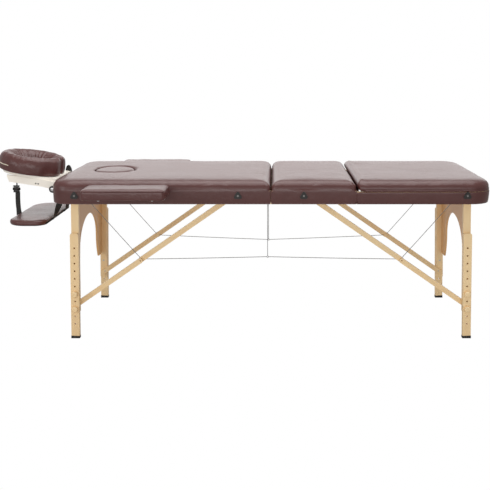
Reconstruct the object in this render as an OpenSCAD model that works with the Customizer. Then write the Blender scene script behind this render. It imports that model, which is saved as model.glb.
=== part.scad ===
// Folding massage table: two hinged halves, a lift-back section, folding leg frames with
// two-part braces, height-adjustable legs, side armrests, a face cradle and an arm shelf.
// Millimetres, +Z up, feet on z = 0, +X towards the foot end, origin under the middle.

/* [Table top] */
// Length of the table top
table_l = 1850; // [1700:10:2000]
// Width of the table top
table_w = 700; // [660:10:760]
// Height of the frame's underside above the floor
underside_h = 605; // [560:5:640]
// Height of the wooden rails
rail_h = 50; // [46:1:60]
// Thickness of the wooden rails
rail_t = 18; // [15:1:20]
// Thickness of the plywood deck
deck_t = 5; // [4:1:6]
// Thickness of the foam pad above the deck
pad_t = 45; // [40:1:60]
// Thickness of the upholstery that wraps the rails
cover_t = 1.2; // [1:0.1:2]
// Corner radius of the top, seen from above
corner_r = 90; // [60:5:120]
// Radius of the corners next to the fold
fold_corner_r = 14; // [8:1:20]

/* [Lift-back section] */
// Length of the lift-back section, from its hinge line to the end
lift_l = 541; // [505:2:585]
// Thickness of the lift-back board
lift_board_t = 8; // [6:1:10]

/* [Leg frames] */
// Outward lean of the legs
splay = 2.5; // [1.5:0.5:3]
// Distance from the end of the table to the leg pivot
pivot_inset = 109; // [105:1:125]
// Height of the leg pivot above the frame's underside
pivot_up = 35; // [34:0.5:36]
// Width of an extension leg
ext_w = 36; // [32:1:40]
// Thickness of an extension leg and of a post
leg_t = 18; // [16:1:18]
// Width of a post
post_w = 32; // [30:1:34]
// Distance from the side of the table in to the extension legs
leg_inset = 40; // [39:1:42]
// Spacing of the height holes
hole_pitch = 34; // [32:1:36]
// Number of height holes in each leg
hole_count = 11; // [10:1:12]
// Radius of the height bolts
bolt_r = 4; // [3:0.5:4]
// Radius of the wooden knobs
knob_r = 14; // [12:1:15]
// Thickness of the plywood end panels
panel_t = 8; // [6:1:8]

/* [Braces] */
// Distance from the centre fold to the brace axle
brace_x = 137; // [125:1:150]
// Share of the pivot's height at which the brace meets the leg
brace_share = 0.765625; // [0.735:0.005:0.775]
// Width of a brace strut
strut_w = 22; // [20:1:22]
// Thickness of a brace strut
strut_t = 15; // [12:1:15]
// Radius of the steel cables
cable_r = 1.5; // [1:0.25:2]

/* [Face cradle and arm shelf] */
// Tilt of the face cradle at rest
cradle_tilt = 8.7; // [4:0.1:12]
// Outer radius of the face cushion
face_r = 149; // [140:1:152]
// Radius of the hole in the face cushion
face_hole_r = 56; // [50:1:62]
// Radius of the cradle rods
rod_r = 9.5; // [8:0.5:10]
// Distance between the cradle rods
rod_spacing = 200; // [190:2:210]
// Width of the arm shelf across the table
shelf_w = 466; // [430:2:500]

/* [Face plug and armrests] */
// Half length of the face plug along the table
plug_a = 89; // [80:1:95]
// Half width of the face plug across the table
plug_b = 103; // [90:1:110]
// Length of an armrest
armrest_l = 338; // [300:2:350]
// Width of an armrest
armrest_w = 150; // [120:2:160]

/* [Hidden] */

// Facets on a round piece
$fn = 48;
// Facets on the children of a hull
soft_fn = 32;
// Gap between pieces that rest against each other
gap = 0.3;
// Radial clearance of a running fit
run = 0.05;
// How far a cut runs past a face
over = 1;
// Thickness of the slices that a cushion is drawn from
skin = 0.05;
// Smallest corner radius of a cushion
small = 2;
// Steps in a cushion's corner
corner_steps = 8;
// Insets and shares of the height that draw the side of a pad
pad_levels = [[6, 0], [2, 0.08], [0, 0.25], [1, 0.42], [4, 0.6], [9, 0.75], [17, 0.87],
    [30, 0.95], [55, 0.99], [130, 1]];

// Levels of the frame
rail_top = underside_h + rail_h;
deck_top = rail_top + deck_t;
top_h = deck_top + pad_t;
half_w = table_w/2;
lift_x = table_l/2 - lift_l;
pivot_x = table_l/2 - pivot_inset;
leg_out = half_w - leg_inset;
rail_out = half_w - cover_t - gap;
rail_in = rail_out - rail_t;
end_out = table_l/2 - cover_t - gap;
end_in = end_out - rail_t;

// Centre fold
knuckle_r = 4;
hinge_pin_r = 2.6;
hinge_head_r = 3.6;
hinge_head_t = 1.5;
leaf_t = 2;
leaf_w = 32;
hinge_l = 90;
hinge_inset = 190;
hinge_y = half_w - hinge_inset;
fold_drop = knuckle_r + leaf_t/4;
fold_z = underside_h - fold_drop;
pad_gap = 1.5;

// Leg frames: the leg's own axis lies outboard of the pivot
leg_off = 14;
strut_off = 10;
pivot_z = underside_h + pivot_up;
brace_z = pivot_z;
brace_drop = brace_share*pivot_z;
axle_r = 4;
axle_cap_r = 17;
axle_cap_t = 6;
post_head_r = 14;
strut_pin_r = 3;
post_out = leg_out - leg_t - gap;
post_in = post_out - leg_t;
low_strut_out = post_in - gap;
low_strut_in = low_strut_out - strut_t;
up_strut_out = low_strut_in - gap;
up_strut_in = up_strut_out - strut_t;
hole_run = 66;
foot_wall = 5;
foot_side = 0.8;
foot_rise = 10;
first_hole = (pivot_z - hole_run)/cos(splay);
leg_reach = (pivot_z - foot_wall)/cos(splay) - ext_w/2*tan(splay);
hole_top = 64;
leg_top = first_hole - (hole_count - 1)*hole_pitch - hole_top;
bolt_steps = [4, 2];
post_reach = first_hole - (bolt_steps[1] - 0.5)*hole_pitch;
knob_t = 12;
washer_t = 2;
knob_lobes = 8;
knob_core_r = 8;

// End panel and its arch
panel_drop = 34;
panel_reach = 398;
arch_apex = 144;
arch_side = 101.7;
arch_half = post_in - arch_side;
arch_rise = 130;
arch_wall = 65.7;
arch_foot = post_in - arch_wall;

// Braces: straight at rest, flat in the frame when folded
brace_rest = [
    pivot_x + brace_drop*sin(splay) + (leg_off - strut_off)*cos(splay) - brace_x,
    brace_z - pivot_z + brace_drop*cos(splay) - (leg_off - strut_off)*sin(splay)
];
brace_span = norm(brace_rest);
brace_flat = pivot_x - brace_drop - brace_x;
up_strut_l = (brace_span + brace_flat)/2;
low_strut_l = (brace_span - brace_flat)/2;
brace_slope = atan2(brace_rest[1], brace_rest[0]);
mid_x = brace_x + up_strut_l*cos(brace_slope);
mid_z = brace_z - up_strut_l*sin(brace_slope);
rivet_r = 9;
rivet_t = 3;
strut_short = 2;
strut_tail = 14;
cable_y = up_strut_in - rivet_t/2;
hanger_x = 15;
hanger_drop = 265;
hanger_z = underside_h - hanger_drop;
hanger_eye_r = 3;

// Lift-back hinge, concentric with the rolled front edge of its pad
lift_bottom = rail_top + gap;
lift_t = top_h - lift_bottom;
lift_z = lift_bottom + lift_t/2;
lift_front_r = lift_t/2;
lift_gap = 3;
middle_end = lift_x - lift_front_r - lift_gap;
lift_pin_r = 4;
lift_block_l = 28;
lift_block_h = 20;
lift_arm = 46;
ear_t = 3;
ear_w = 20;
ear_drop = 34;
prop_pivot = 190;
prop_l = 207;
prop_w = 10;
prop_t = 6;
prop_inset = 27;
prop_out = half_w - prop_inset;
prop_rest_x = 155.5;
prop_rest_l = 22;
prop_rest_h = 15;

// Face plug and hole
plug_inset = 212;
plug_x = table_l/2 - plug_inset;
plug_ledge = 8;
plug_gap = 1.5;

// Armrests
armrest_inset = 167;
armrest_x = table_l/2 - armrest_inset;
armrest_low = 15;
armrest_top = top_h - armrest_low;
armrest_t = 46;
armrest_rod_up = 32.7;
armrest_rod_z = underside_h + armrest_rod_up;
armrest_rod_r = 6;
armrest_rod_inset = 60;
armrest_rod_run = 37;
armrest_rod_in = half_w - armrest_rod_run;
armrest_gap = 1;
armrest_corner = 14;
armrest_rods = [-armrest_x + armrest_rod_inset, -armrest_x + armrest_l - armrest_rod_inset];
armrest_levels = [[4, 0], [1, 0.1], [0, 0.3], [0.3, 0.65], [2, 0.86], [6, 0.96], [20, 1]];

// Face cradle: rods into the end rail, a yoke, and a tilting head
cradle_off = 41;
cradle_up = 27;
cradle_x = table_l/2 + cradle_off;
cradle_z = underside_h + cradle_up;
cradle_rod_in = 90;
socket_l = 54;
socket_w = 60;
yoke_w = 30;
yoke_half = 120;
clamp_r = 4;
arm_t = 12;
arm_lug_r = 13;
arm_low = 4;
arm_high = 34;
arm_l = 205;
plate_t = 12;
plate_half = 127;
plate_back = 10;
face_h = 79;
face_mid = 132;
face_split = 10;
lobe_start = 2;
washer_r = 15;
clamp_out = 150;
clamp_head_t = 7;
clamp_head_out = yoke_half + arm_t + 2*gap + clamp_head_t;
lever_l = 72;
lever_t = 10;

// Arm shelf and its straps
shelf_off = 58;
shelf_l = 172;
shelf_drop = 122;
shelf_back = table_l/2 + shelf_off;
shelf_front = shelf_back + shelf_l;
shelf_top = cradle_z - shelf_drop;
shelf_t = 25;
shelf_front_r = 90;
shelf_back_r = 60;
shelf_levels = [[4, 0], [1, 0.12], [0, 0.4], [0.6, 0.66], [4, 0.88], [16, 1]];
strap_w = 26;
strap_t = 2.2;
rear_loop_off = 12;
rear_loop_x = table_l/2 + rear_loop_off;
rear_tail_x = shelf_back + 1.5*gap - strap_w/2;
rear_drop = 4;
front_strap_off = 13;
front_strap_x = shelf_front + front_strap_off;
front_strap_w = 23;
front_strap_drop = 23;
front_strap_low = shelf_top - front_strap_drop;
front_lace_w = 5;
front_lace_lean = -2.5;
front_lace_in = front_strap_x + front_lace_lean - front_lace_w/2;
front_strap_high = cradle_z + (front_lace_in - cradle_x)*tan(cradle_tilt)
    + arm_high/cos(cradle_tilt) - gap;
tab_l = 36;
buckle_w = 35;
buckle_h = 36;
buckle_t = 9;
buckle_drop = 20;
buckle_z = cradle_z - buckle_drop;

// Profile of the face cushion, a bowl that slopes to the hole: share of the way from the
// hole to the rim, and share of the height above the plate
face_profile_shares = [
    [0.10, 0.00], [0.90, 0.00], [0.98, 0.12], [1.00, 0.34], [0.98, 0.60], [0.90, 0.85],
    [0.76, 0.98], [0.62, 1.00], [0.42, 0.92], [0.22, 0.75], [0.06, 0.50], [0.00, 0.25]
];
face_profile = [for (p = face_profile_shares)
    [face_hole_r + (face_r - face_hole_r)*p[0], arm_high + plate_t + gap + face_h*p[1]]];

// The fold line stands off the origin, so that the origin is under the middle of the whole
cradle_reach = cradle_x + max([for (p = face_profile)
    (face_mid + p[0])*cos(cradle_tilt) - p[1]*sin(cradle_tilt)]);
fold_x = (cradle_reach - table_l/2)/2;

// Colours
vinyl = [0.42, 0.28, 0.27];
beech = [0.96, 0.84, 0.66];
ply = [0.86, 0.66, 0.44];
steel = [0.70, 0.70, 0.72];
black = [0.10, 0.09, 0.09];

// Moves the head end's own coordinates to the part's frame
module placed() translate([fold_x, 0, 0]) children();

// The head end is drawn on the -X side; the foot end is its mirror image
module at_end(e) {
    placed() mirror([e == "foot" ? 1 : 0, 0, 0]) children();
}

// Repeats on the near and the far side
module both_sides() {
    children();
    mirror([0, 1, 0]) children();
}

module on_side(s) mirror([0, s == "far" ? 1 : 0, 0]) children();

// A round bar along Y between two distances from the middle, on the near side
module bar_y(x, z, r, y_in, y_out) {
    translate([x, -y_in, z]) rotate([90, 0, 0]) cylinder(r = r, h = y_out - y_in);
}

// A block along Y between two distances from the middle, on the near side
module block_y(x0, x1, z0, z1, y_in, y_out) {
    translate([x0, -y_out, z0]) cube([x1 - x0, y_out - y_in, z1 - z0]);
}

// A round bar between two points
module bar_between(a, b, r) {
    d = b - a;
    translate(a)
        rotate([0, acos(d[2]/norm(d)), atan2(d[1], d[0])])
            cylinder(r = r, h = norm(d), $fn = 16);
}

// Outline of one half of the top seen from above, from x0 (fold side) to x1 (end)
module top_outline(x0, x1, inset, r0, r1) {
    outer = max(r1 - inset, over);
    inner = max(r0 - inset, over);
    for (s = [-1, 1]) {
        translate([x1 + inset + outer, s*(half_w - inset - outer)]) circle(r = outer);
        translate([x0 - inset - inner, s*(half_w - inset - inner)]) circle(r = inner);
    }
    translate([x1 + inset + outer, -half_w + inset])
        square([x0 - x1 - 2*inset - outer - inner, table_w - 2*inset]);
    translate([x1 + inset, -half_w + inset + outer])
        square([outer, table_w - 2*(inset + outer)]);
    translate([x0 - inset - inner, -half_w + inset + inner])
        square([inner, table_w - 2*(inset + inner)]);
}

// Points round one corner, counter-clockwise from a start angle
function corner(x, y, r, start) = [for (i = [0:corner_steps])
    [x + r*cos(start + i*90/corner_steps), y + r*sin(start + i*90/corner_steps)]];

// Points round a rectangle drawn in by an inset, with a corner radius at each end
function outline(x0, x1, half, inset, r0, r1) =
    let (a = max(r0 - inset, small), b = max(r1 - inset, small), w = half - inset)
    concat(corner(x1 - inset - b, w - b, b, 0), corner(x0 + inset + a, w - a, a, 90),
        corner(x0 + inset + a, -w + a, a, 180), corner(x1 - inset - b, -w + b, b, 270));

// A cushion of stacked outlines: each level is an inset and a share of the height
module crowned(x0, x1, half, r0, r1, z0, h, levels) {
    middle = min(x1 - x0, 2*half)/2 - 2*small;
    hull() {
        for (p = levels)
            translate([0, 0, z0 + (h - skin)*p[1]]) linear_extrude(skin)
                polygon(outline(x0, x1, half, min(p[0], middle), r0, r1));
    }
}

// A crowned pad: drawn in at its bottom edge, full at its side, rounded over at the top
module crowned_pad(x0, x1, r0, r1) {
    crowned(x0, x1, half_w, r0, r1, deck_top + gap, pad_t - gap, pad_levels);
}

// Closed ellipse for the face hole and its plug
module oval(a, b) polygon([for (i = [0:$fn - 1]) [a*cos(i*360/$fn), b*sin(i*360/$fn)]]);

// Triangle with round corners, as the caps on the axle ends are
module cap_outline() {
    corner = axle_cap_r*0.42;
    place = axle_cap_r - corner;
    turns = [90, 210, 330];
    for (t = turns) translate(place*[cos(t), sin(t)]) circle(r = corner, $fn = 24);
    polygon([for (t = turns) for (d = [-60, 60])
        place*[cos(t), sin(t)] + corner*[cos(t + d), sin(t + d)]]);
}

// Side rails and the cross rail at the fold
module rails(e) {
    color(beech) at_end(e) {
        both_sides() difference() {
            block_y(-end_out + corner_r, -gap/2, underside_h, rail_top, rail_in, rail_out);
            for (x = [-pivot_x, -brace_x])
                bar_y(x, x == -brace_x ? brace_z : pivot_z, axle_r + run, rail_in - over, rail_out + over);
            if (e == "head")
                for (x = armrest_rods)
                    bar_y(x, armrest_rod_z, armrest_rod_r + run, rail_in - over, rail_out + over);
        }
        translate([-rail_t - gap/2, -rail_in + gap/2, underside_h])
            cube([rail_t, 2*rail_in - gap, rail_h]);
    }
}

// End rail with its two bent corners; at the head end it takes the cradle rods
module end_rail(e) {
    corner_out = corner_r - cover_t - gap;
    straight = rail_out - corner_out - gap/2;
    color(beech) at_end(e) {
        difference() {
            union() {
                translate([-end_out, -straight, underside_h]) cube([rail_t, 2*straight, rail_h]);
                if (e == "head") for (s = [-1, 1])
                    translate([-end_in + gap/2, s*rod_spacing/2 - socket_w/2, underside_h])
                        cube([socket_l - gap/2, socket_w, rail_h]);
            }
            if (e == "head") for (s = [-1, 1])
                translate([-end_out - over, s*rod_spacing/2, cradle_z]) rotate([0, 90, 0])
                    cylinder(r = rod_r + run, h = rail_t + socket_l + 2*over);
        }
        both_sides() translate([-end_out + corner_out, rail_out - corner_out, underside_h]) {
            rotate([0, 0, 90]) rotate_extrude(angle = 90)
                translate([corner_out - rail_t, 0]) square([rail_t, rail_h]);
            translate([-over/2, corner_out - rail_t, 0])
                cube([corner_r - corner_out - gap/2 + over/2, rail_t, rail_h]);
        }
    }
}

// Plywood deck under the pad
module head_deck() {
    color(ply) at_end("head") translate([0, 0, rail_top]) linear_extrude(deck_t) difference() {
        top_outline(-gap/2, -table_l/2, cover_t + gap, 0, corner_r);
        translate([-plug_x, 0]) oval(plug_a - plug_ledge, plug_b - plug_ledge);
    }
}

module middle_deck() {
    color(ply) at_end("foot") translate([-middle_end + cover_t + gap, -rail_out, rail_top])
        cube([middle_end - cover_t - 3*gap/2, 2*rail_out, deck_t]);
}

// Head pad, with the hole for the face
module head_pad() {
    color(vinyl) at_end("head") difference() {
        crowned_pad(-table_l/2, -pad_gap, corner_r, fold_corner_r);
        translate([-plug_x, 0, underside_h]) linear_extrude(top_h)
            oval(plug_a + plug_gap, plug_b + plug_gap);
    }
}

// Middle pad: between the fold and the lift-back
module middle_pad() {
    color(vinyl) at_end("foot")
        crowned_pad(-middle_end, -pad_gap, fold_corner_r, fold_corner_r);
}

// Steel axles across the frame, with the collars that keep the posts and struts in place
module axles(e) {
    color(steel) at_end(e) {
        for (a = [[-pivot_x, pivot_z], [-brace_x, brace_z]])
            translate([a[0], half_w + axle_cap_t + over/2, a[1]]) rotate([90, 0, 0])
                cylinder(r = axle_r, h = table_w + 2*axle_cap_t + over);
        both_sides() {
            collar(-pivot_x, pivot_z, post_out + gap, rail_in - gap);
            collar(-pivot_x, pivot_z, post_in - gap - 2*rivet_t, post_in - gap);
            collar(-brace_x, brace_z, up_strut_out + gap, rail_in - gap);
            collar(-brace_x, brace_z, up_strut_in - gap - 2*rivet_t, up_strut_in - gap);
        }
    }
}

module collar(x, z, y_in, y_out) {
    difference() {
        bar_y(x, z, 2*axle_r, y_in, y_out);
        bar_y(x, z, axle_r + run/2, y_in - over, y_out + over);
    }
}

// Black three-cornered caps on the axle ends
module axle_caps(e) {
    color(black) at_end(e) both_sides() for (a = [[-pivot_x, pivot_z], [-brace_x, brace_z]])
        difference() {
            translate([a[0], -half_w - gap, a[1]]) rotate([90, 0, 0])
                linear_extrude(axle_cap_t) cap_outline();
            bar_y(a[0], a[1], axle_r + run, half_w, half_w + axle_cap_t + over);
        }
}

// Butt hinges under the fold: outer knuckles on the head leaf, middle one on the foot leaf
module hinge_leaf(e) {
    third = hinge_l/3;
    runs = e == "head" ? [[-hinge_l/2, third - gap], [hinge_l/2 - third + gap, third - gap]]
        : [[-third/2, third]];
    color(steel) at_end(e) for (y = [-hinge_y, hinge_y]) translate([0, y, 0]) difference() {
        union() {
            translate([-leaf_w, -hinge_l/2, underside_h - leaf_t])
                cube([leaf_w - knuckle_r - gap, hinge_l, leaf_t]);
            for (k = runs) translate([0, k[0], 0]) {
                translate([-knuckle_r - over, 0, underside_h - leaf_t])
                    cube([knuckle_r + over, k[1], leaf_t]);
                translate([0, k[1], fold_z]) rotate([90, 0, 0])
                    cylinder(r = knuckle_r, h = k[1]);
            }
        }
        translate([0, hinge_l/2 + over, fold_z]) rotate([90, 0, 0])
            cylinder(r = hinge_pin_r + run, h = hinge_l + 2*over);
    }
}

module hinge_pins() {
    color(steel) placed() for (y = [-hinge_y, hinge_y]) translate([0, y, fold_z]) rotate([90, 0, 0]) {
        cylinder(r = hinge_pin_r, h = hinge_l + 2*gap + hinge_head_t, center = true);
        for (side = [-1, 1]) translate([0, 0, side*(hinge_l/2 + gap + hinge_head_t/2)])
            cylinder(r = hinge_head_r, h = hinge_head_t, center = true);
    }
}

// Ears that carry the lift-back, and the blocks that its props stand on
module lift_ears() {
    color(steel) at_end("foot") both_sides() {
        difference() {
            union() {
                block_y(-lift_x - ear_w/2, -lift_x + ear_w/2, lift_z - ear_drop, lift_z,
                    rail_in - ear_t - gap, rail_in - gap);
                bar_y(-lift_x, lift_z, ear_w/2, rail_in - ear_t - gap, rail_in - gap);
            }
        }
        bar_y(-lift_x, lift_z, lift_pin_r, rail_in - gap - ear_t - lift_block_l, rail_in - gap - ear_t);
        block_y(-lift_x - prop_rest_x - prop_rest_l/2, -lift_x - prop_rest_x + prop_rest_l/2,
            underside_h, underside_h + prop_rest_h, leg_out + over, rail_in - gap/2);
    }
}

// Lift-back board with its hinge blocks and the brackets of its props
module lift_board() {
    arm_out = rail_in - 2*gap - ear_t;
    front = lift_x + ear_w/2 + 4*gap;
    color(ply) at_end("foot") {
        translate([0, 0, lift_bottom]) linear_extrude(lift_board_t)
            intersection() {
                top_outline(0, -table_l/2, cover_t + gap, 0, corner_r);
                translate([-table_l/2, -half_w]) square([table_l/2 - front, table_w]);
            }
        both_sides() difference() {
            union() {
                block_y(-lift_x - lift_arm, -lift_x, lift_bottom + lift_board_t, lift_z + lift_block_h/2,
                    arm_out - lift_block_l, arm_out);
                bar_y(-lift_x, lift_z, lift_block_h/2, arm_out - lift_block_l, arm_out);
            }
            bar_y(-lift_x, lift_z, lift_pin_r + run, arm_out - lift_block_l - over, arm_out + over);
            block_y(-lift_x - ear_w/2 - 3*gap, 0, lift_bottom, lift_bottom + lift_board_t,
                arm_out - lift_block_l - over, arm_out + over);
        }
        both_sides() difference() {
            block_y(-lift_x - prop_pivot - prop_w, -lift_x - prop_pivot + prop_w,
                lift_bottom - prop_w - 2*gap, lift_bottom, prop_out - 2*prop_t - gap, prop_out - prop_t - gap);
            bar_y(-lift_x - prop_pivot, prop_z, strut_pin_r + run, 0, half_w);
        }
    }
}

// Lift-back pad: its front edge rolls round the hinge line
module lift_pad() {
    wrap = lift_bottom + over;
    color(vinyl) at_end("foot") difference() {
        hull() {
            for (p = [[4, 0], [1, 0.1], [0, 0.28], [1, 0.44], [4, 0.61], [9, 0.76], [17, 0.875],
                    [30, 0.95], [55, 0.99], [130, 1]])
                translate([0, 0, wrap + (top_h - wrap - skin)*p[1]]) linear_extrude(skin)
                    polygon(outline(-table_l/2, -lift_x - small, half_w, p[0], corner_r, small));
            translate([-lift_x, half_w - lift_front_r/4, lift_z]) rotate([90, 0, 0])
                cylinder(r = lift_front_r - gap/3, h = table_w - lift_front_r/2, $fn = soft_fn);
        }
        translate([0, 0, wrap - over]) linear_extrude(lift_board_t + gap)
            intersection() {
                top_outline(0, -table_l/2, cover_t, 0, corner_r);
                translate([-table_l/2, -half_w])
                    square([table_l/2 - lift_x - ear_w/2 - 3*gap, table_w]);
            }
        both_sides() {
            block_y(-lift_x - lift_arm - gap, -lift_x + lift_block_h/2 + gap,
                lift_bottom - over, lift_z + lift_block_h/2 + gap,
                rail_in - 4*gap - ear_t - lift_block_l, rail_in - ear_t - gap/2);
            block_y(-lift_x - ear_w/2 - gap, -lift_x + lift_front_r + over,
                lift_bottom - over, lift_z + ear_w/2 + gap,
                rail_in - ear_t - 2*gap, rail_in + gap);
        }
    }
}

prop_z = lift_bottom - prop_w/2 - 2*gap;

// Props that hold the lift-back up, folded under its board
module lift_props() {
    color(steel) at_end("foot") both_sides() translate([-lift_x - prop_pivot, 0, prop_z]) {
        bar_y(0, 0, prop_w/2, prop_out - prop_t, prop_out);
        block_y(-prop_l, 0, -prop_w/2, prop_w/2, prop_out - prop_t, prop_out);
        bar_y(-prop_l, 0, prop_w/2, prop_out - prop_t, prop_out);
        bar_y(0, 0, strut_pin_r, prop_out - 2*prop_t - gap, prop_out - prop_t + over);
    }
}

// The leg frame's own axes: origin at the pivot, -Z down along the leg, +X towards the fold
module leg_axes(e) at_end(e) translate([-pivot_x, 0, pivot_z]) rotate([0, splay, 0]) children();

// Upper posts, with a round head on the axle and the two bolt holes
module posts(e) {
    color(beech) leg_axes(e) both_sides() difference() {
        union() {
            block_y(-leg_off - post_w/2, -leg_off + post_w/2, -post_reach, 0, post_in, post_out);
            bar_y(0, 0, post_head_r, post_in, post_out);
            block_y(-leg_off - post_w/2 + post_w/4, 0, 0, post_head_r, post_in, post_out);
        }
        bar_y(0, 0, axle_r + run, post_in - over, post_out + over);
        bar_y(strut_off - leg_off, -brace_drop, strut_pin_r + run/2, post_in - over, post_out + over);
        for (k = bolt_steps)
            bar_y(-leg_off, -first_hole + k*hole_pitch, bolt_r + run, post_in - over, post_out + over);
    }
}

// Plywood end panel between the posts, cut to an arch
module end_panel(e) {
    arch = concat(
        [[arch_foot, -panel_reach - over], [arch_foot, -panel_reach]],
        [for (i = [0:4]) [arch_half + (arch_foot - arch_half)*pow(1 - i/4, 2),
            -panel_reach + i*(panel_reach - arch_apex - arch_rise)/4]],
        [for (i = [1:24]) [arch_half*cos(i*90/24), -arch_apex - arch_rise + arch_rise*sin(i*90/24)]]);
    outline = concat(arch, [for (i = [len(arch) - 1:-1:0]) [-arch[i][0], arch[i][1]]]);
    color(ply) leg_axes(e) translate([-leg_off - post_w/2 + panel_t, 0, 0]) rotate([90, 0, -90])
        linear_extrude(panel_t) difference() {
            translate([-post_in, -panel_reach]) square([2*post_in, panel_reach - panel_drop]);
            polygon(outline);
        }
}

// Bolts through the posts and legs, and the pins of the lower struts
module leg_bolts(e) {
    color(steel) leg_axes(e) both_sides() {
        for (k = bolt_steps)
            bar_y(-leg_off, -first_hole + k*hole_pitch, bolt_r, post_in, leg_out + knob_t/2);
        bar_y(strut_off - leg_off, -brace_drop, strut_pin_r, low_strut_in + gap/2, post_out);
    }
}

// Extension leg with its row of height holes
module extension(e, s) {
    color(beech) leg_axes(e) on_side(s) difference() {
        union() {
            block_y(-leg_off - ext_w/2, -leg_off + ext_w/2, -leg_reach, -leg_top - ext_w/4, leg_out - leg_t, leg_out);
            block_y(-leg_off - ext_w/4, -leg_off + ext_w/4, -leg_top - ext_w/4, -leg_top, leg_out - leg_t, leg_out);
            for (x = [-1, 1])
                bar_y(-leg_off + x*ext_w/4, -leg_top - ext_w/4, ext_w/4, leg_out - leg_t, leg_out);
        }
        for (k = [0:hole_count - 1])
            bar_y(-leg_off, -first_hole + k*hole_pitch, bolt_r + run, leg_out - leg_t - over, leg_out + over);
    }
}

// Rubber foot pushed over the end of a leg, flat on the floor
module rubber_foot(e, s) {
    color(black) at_end(e) difference() {
        translate([-pivot_x, 0, pivot_z]) rotate([0, splay, 0]) on_side(s)
            block_y(-leg_off - ext_w/2 - foot_side, -leg_off + ext_w/2 + foot_side,
                -leg_reach - 2*foot_wall, -leg_reach + foot_rise - foot_wall,
                leg_out - leg_t - foot_side, leg_out + foot_side);
        translate([-pivot_x, 0, pivot_z]) rotate([0, splay, 0]) on_side(s)
            block_y(-leg_off - ext_w/2 - run, -leg_off + ext_w/2 + run, -leg_reach - run, 0,
                leg_out - leg_t - run, leg_out + run);
        translate([-table_l, -half_w, -pivot_z]) cube([table_l, table_w, pivot_z]);
    }
}

// Turned wooden knob with a scalloped rim, and the washer under it
module knob(e, s, k) {
    color(beech) leg_axes(e) on_side(s)
        translate([-leg_off, -leg_out - gap/2, -first_hole + k*hole_pitch]) rotate([90, 0, 0])
            difference() {
                union() {
                    cylinder(r = knob_core_r + 2*over, h = washer_t);
                    translate([0, 0, washer_t]) rotate_extrude() polygon([
                        [0, 0], [knob_r - washer_t, 0], [knob_r, knob_t*0.2],
                        [knob_r, knob_t*0.66], [knob_r - washer_t, knob_t*0.9],
                        [knob_core_r, knob_t], [0, knob_t]]);
                }
                for (i = [0:knob_lobes - 1])
                    rotate([0, 0, (i + 0.5)*360/knob_lobes])
                        translate([knob_r + 1.5*over, 0, washer_t - over])
                            cylinder(r = 3*over, h = knob_t + 2*over, $fn = 16);
                translate([0, 0, -over]) cylinder(r = bolt_r + run, h = knob_t/2 + 1.5*over);
            }
}

// Brace struts: a flat bar with rounded ends, drilled at both; start and finish are how
// far its ends lie past the two holes
module strut(a, b, r_a, r_b, y_in, y_out, start, finish) {
    d = b - a;
    bend = strut_w*0.4;
    translate([a[0], -y_in, a[1]]) rotate([90, 0, 0]) rotate([0, 0, atan2(d[1], d[0])])
        difference() {
            union() {
                translate([-start + bend, -strut_w/2, 0])
                    cube([start + norm(d) + finish - 2*bend, strut_w, y_out - y_in]);
                translate([-start, -strut_w/2 + bend, 0])
                    cube([start + norm(d) + finish, strut_w - 2*bend, y_out - y_in]);
                for (x = [-start + bend, norm(d) + finish - bend], y = [-1, 1])
                    translate([x, y*(strut_w/2 - bend), 0]) cylinder(r = bend, h = y_out - y_in);
            }
            translate([0, 0, -over]) cylinder(r = r_a, h = y_out - y_in + 2*over);
            translate([norm(d), 0, -over]) cylinder(r = r_b, h = y_out - y_in + 2*over);
        }
}

brace_mid = [-mid_x, mid_z];
brace_foot = [-brace_x - brace_rest[0], brace_z - brace_rest[1]];

module upper_struts(e) {
    color(beech) at_end(e) both_sides() {
        strut([-brace_x, brace_z], brace_mid, axle_r + run, strut_pin_r + run, up_strut_in, up_strut_out,
            strut_w/2, strut_w/2 - strut_short);
        bar_y(-mid_x, mid_z, strut_pin_r, up_strut_in - gap, up_strut_out - gap/2);
        bar_y(-mid_x, mid_z, rivet_r, up_strut_in - rivet_t, up_strut_in - gap/3);
    }
}

module lower_struts(e) {
    color(beech) at_end(e) both_sides()
        strut(brace_foot, brace_mid, strut_pin_r + run, strut_pin_r + run, low_strut_in, low_strut_out,
            strut_w/2 + strut_tail, strut_w/2 - strut_short);
}

// Steel cables from the leg axle to the middle joint of each brace
module end_cables(e) {
    top = [-pivot_x, 0, pivot_z];
    mid = [-mid_x, 0, mid_z];
    way = (mid - top)/norm(mid - top);
    color(steel) at_end(e) both_sides() translate([0, -cable_y, 0])
        bar_between(top + way*(axle_r + gap), mid - way*(rivet_r + gap), cable_r);
}

// Steel cables between the two ends' middle joints, held up by a hanger at the fold
module centre_cables() {
    knot = [-hanger_x, 0, hanger_z];
    ball = 3*cable_r;
    start = ball*0.6;
    color(steel) placed() both_sides() translate([0, -cable_y, 0]) {
        for (s = [-1, 1]) {
            mid = [s*mid_x, 0, mid_z];
            way = (mid - knot)/norm(mid - knot);
            bar_between(knot + way*start, mid - way*(rivet_r + gap), cable_r);
        }
        bar_between(knot + [0, 0, start], [-hanger_x, 0, underside_h - 2*gap], cable_r);
        translate(knot) sphere(r = ball, $fn = 24);
        translate([-hanger_x, 0, underside_h - hanger_eye_r - gap])
            cylinder(r = hanger_eye_r, h = hanger_eye_r);
    }
}

// Plug for the face hole: a ply disc that drops into the deck and a pad on its rim
module face_plug() {
    color(vinyl) at_end("head") translate([-plug_x, 0, rail_top + gap]) {
        linear_extrude(deck_t) oval(plug_a - plug_ledge - gap, plug_b - plug_ledge - gap);
        hull() {
            for (p = [[1, 0], [0, 0.4], [0.4, 0.72], [2, 0.86], [6, 0.95], [13, 0.985], [40, 1]])
                translate([0, 0, deck_t + (pad_t - 2*gap - skin)*p[1]])
                    linear_extrude(skin) oval(plug_a - p[0], plug_b - p[0]);
        }
    }
}

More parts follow.
